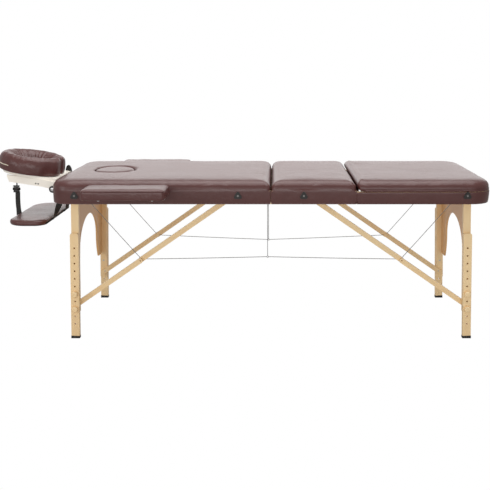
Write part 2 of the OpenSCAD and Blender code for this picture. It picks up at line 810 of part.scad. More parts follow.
// Armrest: a padded board on two rods that push into the side rail
module armrest(s) {
    color(vinyl) at_end("head") on_side(s) {
        translate([0, -half_w - armrest_gap - armrest_w/2, 0])
            crowned(-armrest_x, -armrest_x + armrest_l, armrest_w/2, armrest_corner, armrest_corner,
                armrest_top - armrest_t, armrest_t, armrest_levels);
        for (x = armrest_rods)
            bar_y(x, armrest_rod_z, armrest_rod_r, armrest_rod_in, half_w + armrest_w*0.8);
    }
}

// The cradle's own axes: origin at the clamp, +X out over the cradle head, +Z up from it
module cradle_axes() {
    at_end("head") translate([-cradle_x, 0, cradle_z]) rotate([0, cradle_tilt, 0])
        mirror([1, 0, 0]) children();
}

// Rods, yoke and clamp shaft of the face cradle
module cradle_base() {
    color(beech) at_end("head") {
        difference() {
            translate([-cradle_x - yoke_w/2, -yoke_half, cradle_z - yoke_w/2])
                cube([yoke_w - 2*over, 2*yoke_half, yoke_w]);
            bar_y(-cradle_x, cradle_z, clamp_r + run/2, -yoke_half - over, yoke_half + over);
        }
        for (s = [-1, 1])
            translate([-cradle_x + yoke_w/2 - 2*over, s*rod_spacing/2, cradle_z])
                rotate([0, 90, 0]) cylinder(r = rod_r, h = cradle_x - end_out + cradle_rod_in - yoke_w/2);
        bar_y(-cradle_x, cradle_z, clamp_r, -clamp_out, clamp_head_out - over);
        bar_y(-cradle_x, cradle_z, washer_r, clamp_head_out - clamp_head_t, clamp_head_out - over);
        bar_y(-cradle_x, cradle_z, clamp_r*2, clamp_head_out - 2*over, clamp_head_out);
    }
}

// Side arms of the cradle head, on the clamp shaft
module cradle_arms() {
    color(beech) cradle_axes() both_sides() difference() {
        union() {
            bar_y(0, 0, arm_lug_r, yoke_half + gap, yoke_half + gap + arm_t);
            translate([0, -yoke_half - gap - arm_t, 0]) rotate([90, 0, 0]) mirror([0, 0, 1])
                linear_extrude(arm_t) polygon([
                    [-arm_lug_r, 0], [arm_lug_r, 0], [arm_lug_r + arm_high, arm_low],
                    [arm_l - arm_high/3, arm_low], [arm_l, arm_high - arm_low*2],
                    [arm_l, arm_high], [-arm_lug_r/2, arm_high], [-arm_lug_r, arm_high/2]]);
        }
        bar_y(0, 0, clamp_r + run, yoke_half, yoke_half + arm_t + over);
    }
}

// Plate on the two arms: straight at the clamp, round at the far end, with the face hole
module cradle_plate() {
    color(beech) cradle_axes() translate([0, 0, arm_high + gap/3]) linear_extrude(plate_t)
        difference() {
            union() {
                translate([face_mid, 0]) circle(r = plate_half);
                translate([-plate_back, -plate_half])
                    square([face_mid + plate_back, 2*plate_half]);
            }
            translate([face_mid, 0]) circle(r = face_hole_r + 2*gap);
        }
}

// Cushion open towards the clamp
module cradle_cushion() {
    half_split = asin(face_split/face_r);
    color(vinyl) cradle_axes() difference() {
        translate([face_mid, 0, gap]) rotate([0, 0, 180 + half_split])
            rotate_extrude(angle = 360 - 2*half_split) polygon(face_profile);
        translate([-2*face_r, -face_r, arm_high])
            cube([2*face_r + lobe_start, 2*face_r, 2*face_h]);
    }
}

// Cam lever on the far end of the clamp shaft, with the washer at each end
module cam_lever() {
    y0 = yoke_half + 2*gap + arm_t;
    color(black) at_end("head") {
        difference() {
            mirror([0, 1, 0]) union() {
                bar_y(-cradle_x, cradle_z, washer_r*0.8, y0 + washer_t, y0 + washer_t + lever_t);
                translate([-cradle_x, -y0 - washer_t, cradle_z]) rotate([90, 0, 0])
                    linear_extrude(lever_t) polygon([for (t = [0:10:350])
                        [lever_l*0.06 + washer_r*0.95*cos(t), lever_l*0.55 + lever_l*0.45*sin(t)]]);
                bar_y(-cradle_x, cradle_z, washer_r*0.7, y0, y0 + washer_t);
            }
            mirror([0, 1, 0])
                bar_y(-cradle_x, cradle_z, clamp_r + run, y0 - over, y0 + washer_t + lever_t + over);
        }
    }
}

// Padded arm shelf under the cradle, with the webbing tab sewn under its front edge
module arm_shelf() {
    color(vinyl) at_end("head") {
        crowned(-shelf_front, -shelf_back, shelf_w/2, shelf_front_r, shelf_back_r,
            shelf_top - shelf_t, shelf_t, shelf_levels);
        translate([-front_strap_x + front_strap_w/2, -front_strap_w/2, shelf_top - shelf_t - gap - strap_t])
            cube([tab_l, front_strap_w, strap_t]);
    }
}

// Rear straps: a loop round each cradle rod and a tail that leans out to the shelf's edge
module rear_straps() {
    rise = cradle_z - rod_r - shelf_top + shelf_t - rear_drop;
    lean = atan2(rear_tail_x - rear_loop_x, rise);
    color(black) at_end("head") for (s = [-1, 1])
        translate([-rear_loop_x, s*rod_spacing/2, 0]) difference() {
            union() {
                translate([-strap_w/2, 0, cradle_z]) rotate([0, 90, 0])
                    cylinder(r = rod_r + gap + strap_t, h = strap_w);
                translate([0, -strap_t/2, cradle_z - rod_r]) rotate([0, lean, 0])
                    translate([-strap_w/2, 0, -rise/cos(lean)])
                        cube([strap_w, strap_t, rise/cos(lean) - gap]);
            }
            translate([-strap_w/2 - over, 0, cradle_z]) rotate([0, 90, 0])
                cylinder(r = rod_r + gap, h = strap_w + 2*over);
        }
}

// Front strap: webbing from the shelf's front edge up to the cradle plate, with a buckle
module front_strap() {
    color(black) at_end("head") {
        translate([-front_strap_x - front_strap_w/2, -strap_t/2, front_strap_low])
            cube([front_strap_w, strap_t, buckle_z - front_strap_low - buckle_h/2 - gap/3]);
        translate([-front_strap_x - buckle_w/2, -buckle_t/2, buckle_z - buckle_h/2])
            cube([buckle_w, buckle_t, buckle_h]);
        translate([-front_lace_in - front_lace_w, -strap_t/2, buckle_z + buckle_h/2 + gap/3])
            cube([front_lace_w, strap_t, front_strap_high - buckle_z - buckle_h/2 - gap/3]);
    }
}

rails("head");  // head_rails
end_rail("head");  // head_end_rail
head_deck();
head_pad();
axles("head");  // head_axles
axle_caps("head");  // head_axle_caps
hinge_leaf("head");  // head_hinge_leaves
hinge_pins();
rails("foot");  // foot_rails
end_rail("foot");  // foot_end_rail
middle_deck();
middle_pad();
axles("foot");  // foot_axles
axle_caps("foot");  // foot_axle_caps
hinge_leaf("foot");  // foot_hinge_leaves
lift_ears();
lift_board();
lift_pad();
lift_props();
posts("head");  // head_posts
end_panel("head");  // head_end_panel
leg_bolts("head");  // head_leg_bolts
posts("foot");  // foot_posts
end_panel("foot");  // foot_end_panel
leg_bolts("foot");  // foot_leg_bolts
extension("head", "near");  // leg_head_near
extension("head", "far");  // leg_head_far
extension("foot", "near");  // leg_foot_near
extension("foot", "far");  // leg_foot_far
rubber_foot("head", "near");  // rubber_head_near
rubber_foot("head", "far");  // rubber_head_far
rubber_foot("foot", "near");  // rubber_foot_near
rubber_foot("foot", "far");  // rubber_foot_far
knob("head", "near", bolt_steps[0]);  // knob_head_near_upper
knob("head", "near", bolt_steps[1]);  // knob_head_near_lower
knob("head", "far", bolt_steps[0]);  // knob_head_far_upper
knob("head", "far", bolt_steps[1]);  // knob_head_far_lower
knob("foot", "near", bolt_steps[0]);  // knob_foot_near_upper
knob("foot", "near", bolt_steps[1]);  // knob_foot_near_lower
knob("foot", "far", bolt_steps[0]);  // knob_foot_far_upper
knob("foot", "far", bolt_steps[1]);  // knob_foot_far_lower
upper_struts("head");  // head_upper_struts
lower_struts("head");  // head_lower_struts
upper_struts("foot");  // foot_upper_struts
lower_struts("foot");  // foot_lower_struts
end_cables("head");  // head_cables
end_cables("foot");  // foot_cables
centre_cables();
face_plug();
cradle_base();
cradle_arms();
cradle_plate();
cradle_cushion();
cam_lever();
arm_shelf();
rear_straps();
front_strap();
armrest("near");  // armrest_near
armrest("far");  // armrest_far
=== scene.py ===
import math

import bmesh
import bpy
import numpy as np
from mathutils import Matrix, Vector, noise


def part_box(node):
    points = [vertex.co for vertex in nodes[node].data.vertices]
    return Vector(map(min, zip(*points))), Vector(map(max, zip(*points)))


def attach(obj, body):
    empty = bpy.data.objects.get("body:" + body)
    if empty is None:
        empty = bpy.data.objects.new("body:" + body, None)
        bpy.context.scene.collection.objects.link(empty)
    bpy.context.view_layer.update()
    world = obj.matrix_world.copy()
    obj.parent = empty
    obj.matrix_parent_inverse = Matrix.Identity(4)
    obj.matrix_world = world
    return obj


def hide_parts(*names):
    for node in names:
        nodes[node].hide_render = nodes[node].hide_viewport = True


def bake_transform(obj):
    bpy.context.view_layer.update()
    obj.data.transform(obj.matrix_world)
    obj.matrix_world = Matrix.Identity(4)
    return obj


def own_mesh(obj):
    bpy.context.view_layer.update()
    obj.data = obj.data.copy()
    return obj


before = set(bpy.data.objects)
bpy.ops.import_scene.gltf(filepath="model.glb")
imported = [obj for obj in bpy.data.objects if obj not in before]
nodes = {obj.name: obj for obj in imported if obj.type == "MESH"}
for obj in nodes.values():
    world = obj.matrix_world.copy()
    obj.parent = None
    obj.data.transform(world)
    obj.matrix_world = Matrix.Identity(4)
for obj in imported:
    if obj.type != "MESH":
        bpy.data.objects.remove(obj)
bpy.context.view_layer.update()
scene = bpy.context.scene
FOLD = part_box("head_pad")[1][0] + 0.0015  # where the two halves meet


# Camera and light
# A product shot from a little above the table top, square to its side, in a white room
# with a broad soft light overhead: tops go pale at that low angle, sides stay dark.
cam = bpy.data.objects.new("camera", bpy.data.cameras.new("camera"))
scene.collection.objects.link(cam)
scene.camera = cam
cam.location = (0.019 + FOLD, -3.561, 1.1931)
cam.rotation_euler = (math.radians(90 - 13.367), 0, 0)
cam.data.lens, cam.data.sensor_width, cam.data.shift_x = 57.56, 36, -0.0621
cam.data.clip_end = 60
scene.view_settings.view_transform = "Standard"


def put(node, **values):
    """Sets input values of a node; i0, i1 and so on are inputs by number."""
    for k, v in values.items():
        key = int(k[1:]) if k[0] == "i" and k[1:].isdigit() else k.replace("_", " ")
        node.inputs[key].default_value = v


def add(tree, kind, settings=None, **values):
    """A new node with its settings and input values."""
    node = tree.nodes.new(kind)
    for k, v in (settings or {}).items():
        setattr(node, k, v)
    put(node, **values)
    return node


def wire(tree, *links):
    """Links a node tree's sockets, each link given as node, output, node, input."""
    for a, source, b, target in links:
        tree.links.new(a.outputs[source], b.inputs[target])


world = bpy.data.worlds.new("room")
scene.world = world
world.use_nodes = True
tree = world.node_tree
tree.nodes.clear()
out = add(tree, "ShaderNodeOutputWorld")
mix = add(tree, "ShaderNodeMixShader")
ray = add(tree, "ShaderNodeLightPath")
seen = add(tree, "ShaderNodeBackground", i0=(1, 1, 1, 1))
glow = add(tree, "ShaderNodeBackground", i0=(1, 0.985, 0.965, 1), i1=0.42)
wire(tree, (ray, "Is Camera Ray", mix, 0), (glow, 0, mix, 1), (seen, 0, mix, 2), (mix, 0, out, 0))

for name, place, turn, wide, tall, power in (
        ("overhead", (0.2, 0.2, 3.2), (0, 0, 0), 3.6, 3.0, 95),
        ("back_panel", (0.0, 6.0, 1.9), (-78, 0, 0), 9.0, 2.6, 80),
        ("front_strip", (-0.3, -6.2, 1.5), (82, 0, 0), 6.0, 0.5, 95),
        ("left_fill", (-3.6, -2.8, 1.7), (70, 0, -52), 1.4, 1.4, 26)):
    lamp = bpy.data.lights.new(name, "AREA")
    lamp.shape = "RECTANGLE"
    lamp.energy, lamp.size, lamp.size_y = power, wide, tall
    lamp_object = bpy.data.objects.new(name, lamp)
    lamp_object.location = place
    lamp_object.rotation_euler = [math.radians(a) for a in turn]
    scene.collection.objects.link(lamp_object)


# Wooden frame, leg frames and braces
# Kiln-dried beech, planed and clear-lacquered, with its grain along each bar; the decks and
# the arched end panels are birch plywood with a rotary-cut, wavier figure.


def group(name, inputs, outputs):
    """A node group with its sockets, and its own input and output nodes."""
    made = bpy.data.node_groups.new(name, "ShaderNodeTree")
    for n, kind, value in inputs:
        socket = made.interface.new_socket(n, in_out="INPUT", socket_type=kind)
        if value is not None:
            socket.default_value = value
    for n, kind in outputs:
        made.interface.new_socket(n, in_out="OUTPUT", socket_type=kind)
    return made, made.nodes.new("NodeGroupInput"), made.nodes.new("NodeGroupOutput")


VEC, COL, FLT = "NodeSocketVector", "NodeSocketColor", "NodeSocketFloat"

# Wood grain: long bands stretched along the piece, with pores and a slow change of tone
wood, given, result = group(
    "wood_grain", [("Vector", VEC, None), ("Rings", FLT, 26.0), ("Light", COL, (1, 1, 1, 1)),
                   ("Dark", COL, (0.5, 0.4, 0.3, 1))], [("Color", COL), ("Normal", VEC), ("Pores", FLT)])
slow = add(wood, "ShaderNodeTexNoise", Scale=2.2, Detail=3.0, Roughness=0.55)
bend = add(wood, "ShaderNodeVectorMath", {"operation": "MULTIPLY_ADD"}, i1=(0.10, 0.10, 0.10))
ring = add(wood, "ShaderNodeTexWave", {"wave_type": "BANDS", "bands_direction": "Y"},
           Distortion=3.5, Detail=3.0, Detail_Scale=1.2)
fine = add(wood, "ShaderNodeTexNoise", Scale=160.0, Detail=4.0, Roughness=0.65)
tone = add(wood, "ShaderNodeMath", {"operation": "MULTIPLY"}, i1=0.35)
both = add(wood, "ShaderNodeMath", {"operation": "MULTIPLY_ADD"}, i1=0.55)
pore = add(wood, "ShaderNodeMapRange", i1=0.62, i2=0.74)
mix1 = add(wood, "ShaderNodeMix", {"data_type": "RGBA"})
mix2 = add(wood, "ShaderNodeMix", {"data_type": "RGBA", "blend_type": "MULTIPLY"},
           i7=(0.80, 0.66, 0.50, 1))
deep = add(wood, "ShaderNodeMath", {"operation": "MULTIPLY"}, i1=0.25)
groove = add(wood, "ShaderNodeBump", {"invert": True}, Strength=0.22, Distance=0.0004)
wire(wood, (given, "Vector", slow, "Vector"), (slow, "Color", bend, 0), (given, "Vector", bend, 2),
     (bend, 0, ring, "Vector"), (given, "Rings", ring, "Scale"), (given, "Vector", fine, "Vector"),
     (ring, "Fac", tone, 0), (slow, 0, both, 0), (tone, 0, both, 2), (both, 0, mix1, 0),
     (given, "Light", mix1, 6), (given, "Dark", mix1, 7), (fine, 0, pore, 0), (pore, 0, deep, 0),
     (deep, 0, mix2, 0), (mix1, 2, mix2, 6), (pore, 0, groove, "Height"), (mix2, 2, result, "Color"),
     (groove, 0, result, "Normal"), (pore, 0, result, "Pores"))


def shader(name, tree_group, stretch=(1, 1, 1), turn=(0, 0, 0), **group_values):
    """A new material with its principled shader, and one shared group fed with object space."""
    material = bpy.data.materials.new(name)
    material.use_nodes = True
    tree = material.node_tree
    surface = tree.nodes["Principled BSDF"]
    coordinates = add(tree, "ShaderNodeTexCoord")
    mapping = add(tree, "ShaderNodeMapping", Scale=stretch, Rotation=[math.radians(a) for a in turn])
    grain = add(tree, "ShaderNodeGroup", {"node_tree": tree_group}, **group_values)
    wire(tree, (coordinates, "Object", mapping, 0), (mapping, 0, grain, "Vector"),
         (grain, "Normal", surface, "Normal"))
    return material, surface, grain


def span(surface, grain, mask, low, high):
    """Maps one of the grain's masks to a range of roughness."""
    tree = surface.id_data
    mapped = add(tree, "ShaderNodeMapRange", i3=low, i4=high)
    wire(tree, (grain, mask, mapped, 0), (mapped, 0, surface, "Roughness"))


def timber(name, stretch, turn, light, dark, rings=26.0, rough=(0.34, 0.46)):
    """A wood material: how its grain is stretched and turned, its two tones and its roughness."""
    material, surface, grain = shader(name, wood, stretch=stretch, turn=turn, Rings=rings,
                                      Light=(*light, 1), Dark=(*dark, 1))
    wire(surface.id_data, (grain, "Color", surface, "Base Color"))
    span(surface, grain, "Pores", *rough)
    put(surface, Coat_Weight=0.2, Coat_Roughness=0.25)
    return material


def paint(names, material):
    """A carried-over node keeps its mesh and takes a new material."""
    for n in names:
        o = nodes[n]
        o.data.materials.clear()
        o.data.materials.append(material)


PALE, WARM = (0.95, 0.735, 0.43), (0.88, 0.60, 0.31)
paint(["head_rails", "foot_rails"], timber("beech_along_x", (0.06, 1, 1), (0, 0, 0), PALE, WARM))
paint(["head_end_rail", "foot_end_rail", "cradle_base"],
      timber("beech_along_y", (1, 0.06, 1), (0, 0, 0), PALE, WARM))
paint(["head_posts", "foot_posts", "leg_head_near", "leg_head_far", "leg_foot_near", "leg_foot_far"] +
      [n for n in nodes if n.startswith("knob_")],
      timber("beech_upright", (1, 1, 0.06), (0, 0, 0), PALE, WARM))
for e, slope in (("head", 34.8), ("foot", -34.8)):
    paint([f"{e}_upper_struts", f"{e}_lower_struts"],
          timber("beech_brace_" + e, (0.06, 1, 1), (0, slope, 0), PALE, WARM))
paint(["head_end_panel", "foot_end_panel"],
      timber("end_plywood", (1, 0.10, 0.35), (0, 0, 0), (0.80, 0.47, 0.20), (0.70, 0.37, 0.14), rings=9.0))
paint(["head_deck", "middle_deck", "lift_board"],
      timber("deck_plywood", (0.12, 0.5, 1), (0, 0, 0), (0.80, 0.56, 0.32), (0.66, 0.43, 0.22), rings=9.0,
             rough=(0.5, 0.6)))
# the cradle's arms and plate are coloured near white, much paler than the other beech
paint(["cradle_arms", "cradle_plate"],
      timber("beech_near_white", (0.06, 1, 1), (0, 0, 0), (0.97, 0.93, 0.86), (0.95, 0.87, 0.74)))


# Metal, plastic and rubber fittings
# Zinc-plated axles, bolts, hinges and lift-back ears; black moulded axle caps and cam lever;
# black rubber feet, dull from the floor.

# Fine moulded or brushed texture, stretched by the vector it is given
fleck, given, result = group(
    "fine_texture", [("Vector", VEC, None), ("Scale", FLT, 900.0), ("Depth", FLT, 0.15)],
    [("Normal", VEC), ("Value", FLT)])
speck = add(fleck, "ShaderNodeTexNoise", Detail=3.0)
rough = add(fleck, "ShaderNodeBump", Distance=0.0003)
wire(fleck, (given, "Vector", speck, "Vector"), (given, "Scale", speck, "Scale"),
     (given, "Depth", rough, "Strength"), (speck, 0, rough, "Height"), (rough, 0, result, "Normal"),
     (speck, 0, result, "Value"))


def two_tone(surface, grain, mask, a, b):
    """Mixes two colours by one of the grain's masks into the base colour."""
    tree = surface.id_data
    mixed = add(tree, "ShaderNodeMix", {"data_type": "RGBA"}, i6=(*a, 1), i7=(*b, 1))
    wire(tree, (grain, mask, mixed, 0), (mixed, 2, surface, "Base Color"))


STEEL, surface, grain = shader("plated_steel", fleck, stretch=(1, 0.05, 1), Scale=1400.0, Depth=0.12)
put(surface, Metallic=1)
two_tone(surface, grain, "Value", (0.50, 0.50, 0.51), (0.66, 0.66, 0.66))
span(surface, grain, "Value", 0.22, 0.38)
paint(["head_hinge_leaves", "foot_hinge_leaves", "hinge_pins", "head_leg_bolts", "foot_leg_bolts"], STEEL)

# dark steel for the axles; on the lift-back's ears and props, down in the gap, the dark colour is painted
# shade
AXLE, surface, grain = shader("dark_steel_gap_shade", fleck, Scale=1400.0, Depth=0.2)
put(surface, Metallic=0.9, Roughness=0.42)
two_tone(surface, grain, "Value", (0.16, 0.155, 0.15), (0.26, 0.25, 0.24))
paint(["head_axles", "foot_axles", "lift_ears", "lift_props"], AXLE)

BLACK, surface, grain = shader("black_plastic", fleck, Scale=1100.0, Depth=0.18)
two_tone(surface, grain, "Value", (0.010, 0.008, 0.008), (0.018, 0.015, 0.014))
span(surface, grain, "Value", 0.34, 0.48)
paint(["head_axle_caps", "foot_axle_caps", "cam_lever"], BLACK)

RUBBER, surface, grain = shader("foot_rubber", fleck, Scale=500.0, Depth=0.3)
two_tone(surface, grain, "Value", (0.010, 0.010, 0.010), (0.035, 0.033, 0.031))
put(surface, Roughness=0.72)
paint([n for n in nodes if n.startswith("rubber_")], RUBBER)


# Head half: padded top
# High-density foam on a plywood deck. One piece of brown upholstery vinyl is pulled over the
# foam and down over the rails on three sides, and stapled under them; an oval face hole is
# cut through. The foam's fill is found by letting the cover swell as cloth over the board.

END, HALF = 0.925, 0.35  # half length and half width of the top
BOARD, CREST = 0.6600, 0.7042  # levels of the deck and of a pad's flat
CORNER = 0.090  # radius of the corners at both ends of the top

# Leather grain: pebbles of two sizes with fine creases between them
leather, given, result = group(
    "leather_grain", [("Vector", VEC, None), ("Scale", FLT, 620.0), ("Depth", FLT, 0.12)],
    [("Normal", VEC), ("Crease", FLT), ("Mottle", FLT)])
pebble = add(leather, "ShaderNodeTexVoronoi", {"feature": "DISTANCE_TO_EDGE"})
swollen = add(leather, "ShaderNodeTexVoronoi", {"feature": "SMOOTH_F1"}, Smoothness=0.6)
warp = add(leather, "ShaderNodeTexNoise", Scale=90.0, Detail=3.0)
soft = add(leather, "ShaderNodeTexNoise", Scale=9.0, Detail=4.0, Roughness=0.6)
slack = add(leather, "ShaderNodeTexNoise", Scale=26.0, Detail=2.0)
push = add(leather, "ShaderNodeVectorMath", {"operation": "MULTIPLY_ADD"}, i1=(0.004, 0.004, 0.004))
half = add(leather, "ShaderNodeMath", {"operation": "MULTIPLY"}, i1=0.45)
ramp = add(leather, "ShaderNodeMapRange", i1=0.0, i2=0.16)
tall = add(leather, "ShaderNodeMath", {"operation": "MULTIPLY_ADD"}, i1=0.6)
drape = add(leather, "ShaderNodeBump", Strength=0.35, Distance=0.004)
bump = add(leather, "ShaderNodeBump", Distance=0.0006)
wire(leather, (given, "Vector", warp, "Vector"), (warp, "Color", push, 0), (given, "Vector", push, 2),
     (push, 0, pebble, "Vector"), (push, 0, swollen, "Vector"), (given, "Vector", soft, "Vector"),
     (given, "Vector", slack, "Vector"), (given, "Scale", pebble, "Scale"), (given, "Scale", half, 0),
     (half, 0, swollen, "Scale"), (pebble, "Distance", ramp, 0), (swollen, "Distance", tall, 0),
     (ramp, 0, tall, 2), (slack, 0, drape, "Height"), (drape, 0, bump, "Normal"), (tall, 0, bump, "Height"),
     (given, "Depth", bump, "Strength"), (bump, 0, result, "Normal"), (ramp, 0, result, "Crease"),
     (soft, 0, result, "Mottle"))

VINYL, surface, grain = shader("brown_vinyl", leather, Scale=620.0, Depth=0.14)
two_tone(surface, grain, "Mottle", (0.078, 0.024, 0.022), (0.106, 0.036, 0.033))
span(surface, grain, "Crease", 0.42, 0.30)
put(surface, Specular_IOR_Level=0.45, Coat_Weight=0.16, Coat_Roughness=0.24)


def smooth_piece(name, mesh, material):
    """A smooth-shaded object from a mesh, in one material."""
    mesh.polygons.foreach_set("use_smooth", [True] * len(mesh.polygons))
    mesh.materials.append(material)
    o = bpy.data.objects.new(name, mesh)
    scene.collection.objects.link(o)
    return o


def with_creases(o, angle, *others):
    """Joins other meshes to a piece, and keeps the edges that turn by more than angle sharp."""
    bm = bmesh.new()
    for part in (o, *others):
        bm.from_mesh(part.data)
    for e in bm.edges:
        if len(e.link_faces) == 2 and e.calc_face_angle(0) > angle:
            e.smooth = False
    bm.to_mesh(o.data)
    bm.free()
    return o


def loft(name, loops, material, closed=False):
    """A mesh from loops of equal length; closed joins the last loop to the first."""
    n, rows = len(loops[0]), len(loops)
    faces = []
    for r in range(rows if closed else rows - 1):
        a, b = r * n, ((r + 1) % rows) * n
        for i in range(n):
            j = (i + 1) % n
            faces.append((a + i, a + j, b + j, b + i))
    if not closed:
        faces += [tuple(range(n))[::-1], tuple(range((rows - 1) * n, rows * n))]
    mesh = bpy.data.meshes.new(name)
    mesh.from_pydata(np.concatenate(loops).tolist(), [], faces)
    bm = bmesh.new()
    bm.from_mesh(mesh)
    bmesh.ops.triangulate(bm, faces=[f for f in bm.faces if len(f.verts) > 4])
    bmesh.ops.recalc_face_normals(bm, faces=bm.faces)
    bm.to_mesh(mesh)
    bm.free()
    return smooth_piece(name, mesh, material)


def outline(xa, xb, half, ra, rb, counts=(150, 84, 14)):
    """Points round a top seen from above: xa its far end, xb its fold end, with corner radii.
    Also how much each point belongs to the fold end and to the far end (0..1)."""
    long_n, end_n, arc_n = counts
    s = 1 if xb > xa else -1
    pts, fold, far = [], [], []

    def run(a, b, n, f, g):
        for i in range(n):
            k = i / n
            k = 0.45 * k + 0.55 * (1 - math.cos(math.pi * k)) / 2
            pts.append((a[0] + (b[0] - a[0]) * k, a[1] + (b[1] - a[1]) * k))
            fold.append(f)
            far.append(g)

    def arc(cx, cy, r, a0, a1, f0, f1, g0, g1):
        for i in range(arc_n):
            k = i / arc_n
            a = math.radians(a0 + (a1 - a0) * k)
            pts.append((cx + s * r * math.cos(a), cy + r * math.sin(a)))
            fold.append(f0 + (f1 - f0) * k)
            far.append(g0 + (g1 - g0) * k)

    run((xa + s * ra, -half), (xb - s * rb, -half), long_n, 0, 0)
    arc(xb - s * rb, -half + rb, rb, -90, 0, 0, 1, 0, 0)
    run((xb, -half + rb), (xb, half - rb), end_n, 1, 0)
    arc(xb - s * rb, half - rb, rb, 0, 90, 1, 0, 0, 0)
    run((xb - s * rb, half), (xa + s * ra, half), long_n, 0, 0)
    arc(xa + s * ra, half - ra, ra, 90, 180, 0, 0, 0, 1)
    run((xa, half - ra), (xa, -half + ra), end_n, 0, 1)
    arc(xa + s * ra, -half + ra, ra, 180, 270, 0, 0, 1, 0)
    return np.array(pts), np.array(fold), np.array(far)


def level(inset, z, xa, xb, ra, rb, drop=(False, False), ends=None):
    """One loop of a cover. At an end that has no cover under the deck (drop), it stays up."""
    s = 1 if xb > xa else -1
    ends = inset if ends is None else ends
    pts, fold, far = outline(xa + s * ends, xb - s * ends, HALF - inset,
                             max(ra - inset, 0.002), max(rb - max(inset, 0), 0.002))
    heights = np.full(len(pts), z)
    for share, dropped in ((far, drop[0]), (fold, drop[1])):
        if dropped:
            heights = np.where(share >= 0.999, np.maximum(heights, BOARD), heights)
    return np.column_stack([pts, heights])


def fill_out(o, voxel, hold, cap, base=None, press=4.0, rim=None, slack=-0.004):
    """Lets a cut pad swell as cloth: an even new mesh, cut off under base, is held where the
    board and seams hold it, pressed out from inside, and kept as it stands after 20 frames."""
    def baked():
        bpy.context.view_layer.update()
        made = bpy.data.meshes.new_from_object(o.evaluated_get(bpy.context.evaluated_depsgraph_get()))
        o.modifiers.clear()
        return made

    material = o.data.materials[0]
    new = o.modifiers.new("even", "REMESH")
    new.mode, new.voxel_size, new.use_smooth_shade = "VOXEL", voxel, True
    o.data = baked()
    bm = bmesh.new()
    bm.from_mesh(o.data)
    if base is not None:
        bmesh.ops.bisect_plane(bm, geom=bm.verts[:] + bm.edges[:] + bm.faces[:], dist=1e-5,
                               plane_co=(0, 0, base), plane_no=(0, 0, 1), clear_inner=True)
    bm.to_mesh(o.data)
    bm.free()
    was = np.array([v.co[:] for v in o.data.vertices])
    pins = o.vertex_groups.new(name="hold")
    for i, co in enumerate(was):
        pins.add([i], min(1.0, max(0.0, hold(co))), "REPLACE")
    cloth = o.modifiers.new("fill", "CLOTH")
    settings = cloth.settings
    settings.quality, settings.mass, settings.vertex_group_mass = 5, 0.3, "hold"
    settings.use_pressure, settings.uniform_pressure_force = True, press
    settings.tension_stiffness = settings.compression_stiffness = 12
    settings.shear_stiffness, settings.bending_stiffness, settings.shrink_min = 4, 1.5, slack
    settings.effector_weights.gravity = 0
    cloth.collision_settings.use_collision = False
    cloth.point_cache.frame_start, cloth.point_cache.frame_end = 1, 20
    for n in range(1, 21):
        scene.frame_set(n)
    now = baked()
    moved = np.array([v.co[:] for v in now.vertices]) - was
    far = np.linalg.norm(moved, axis=1)
    moved *= np.minimum(1.0, cap / np.maximum(far, 1e-9))[:, None]
    o.data.vertices.foreach_set("co", (was + moved).ravel())
    scene.frame_set(1)
    bpy.data.meshes.remove(now)
    o.vertex_groups.clear()
    if rim is not None:
        rim(o.data)
    fine = o.modifiers.new("fine", "SUBSURF")
    fine.levels = 1
    o.data = baked()
    bm = bmesh.new()
    bm.from_mesh(o.data)
    edge = [e for e in bm.edges if e.is_boundary]
    for e in edge:
        e.smooth = False
    if edge:
        bmesh.ops.triangle_fill(bm, edges=edge, use_beauty=True)
    bm.to_mesh(o.data)
    bm.free()
    o.data.polygons.foreach_set("use_smooth", [True] * len(o.data.polygons))
    o.data.materials.clear()
    o.data.materials.append(material)
    return o


def merged(o, *others):
    """Adds other meshes to a piece: the same sheet of vinyl, made in two steps."""
    with_creases(o, 0.8, *others)
    o.data.polygons.foreach_set("use_smooth", [True] * len(o.data.polygons))
    for part in others:
        bpy.data.objects.remove(part)
    return o


def swell(o, size, amount, keep):
    """Pushes a mesh in and out along its normals by a slow random swell."""
    o.data.update()
    for v, nrm in [(v, v.normal.copy()) for v in o.data.vertices]:
        v.co += nrm * keep(v.co) * amount * noise.noise(v.co / size)
    o.data.update()


def both_corners(x):
    """The near and the far corner of a top at x, where its cover is folded in."""
    return [(x, -HALF, 0.664), (x, HALF, 0.664)]


def gather(o, places, amount, reach):
    """Small pleats that fan out from each corner, where the vinyl is folded in and stapled."""
    mesh = o.data
    mesh.update()
    for v, nrm in [(v, v.normal.copy()) for v in mesh.vertices]:
        for k, (cx, cy, cz) in enumerate(places):
            d = Vector((v.co.x - cx, v.co.y - cy, v.co.z - cz))
            far = d.length
            if far < reach and v.co.z > 0.6615:
                a = math.atan2(d.z, d.x)
                w = math.sin(a * 9 + k + 2.5 * noise.noise(v.co / 0.03)) + 0.5 * math.sin(a * 17 + 2 * k)
                v.co += nrm * amount * w * (1 - far / reach) ** 1.4 * min(1, (v.co.z - 0.6615) / 0.006)
    mesh.update()


SKIRT = [(0.0010, 0.6060), (-0.0002, 0.6120), (-0.0010, 0.6220), (-0.0017, 0.6350), (-0.0020, 0.6480),
         (-0.0020, 0.6560), (-0.0019, 0.6590)]
PAD = [(-0.0019, 0.6590), (-0.0014, 0.6660), (-0.0004, 0.6715), (0.0012, 0.6770), (0.0036, 0.6820),
       (0.0068, 0.6865), (0.0108, 0.6905), (0.0158, 0.6940), (0.0220, 0.6970), (0.0300, 0.6995),
       (0.0400, 0.7015), (0.0530, 0.7028), (0.0700, 0.7036), (0.0950, 0.7040), (0.1300, CREST)]


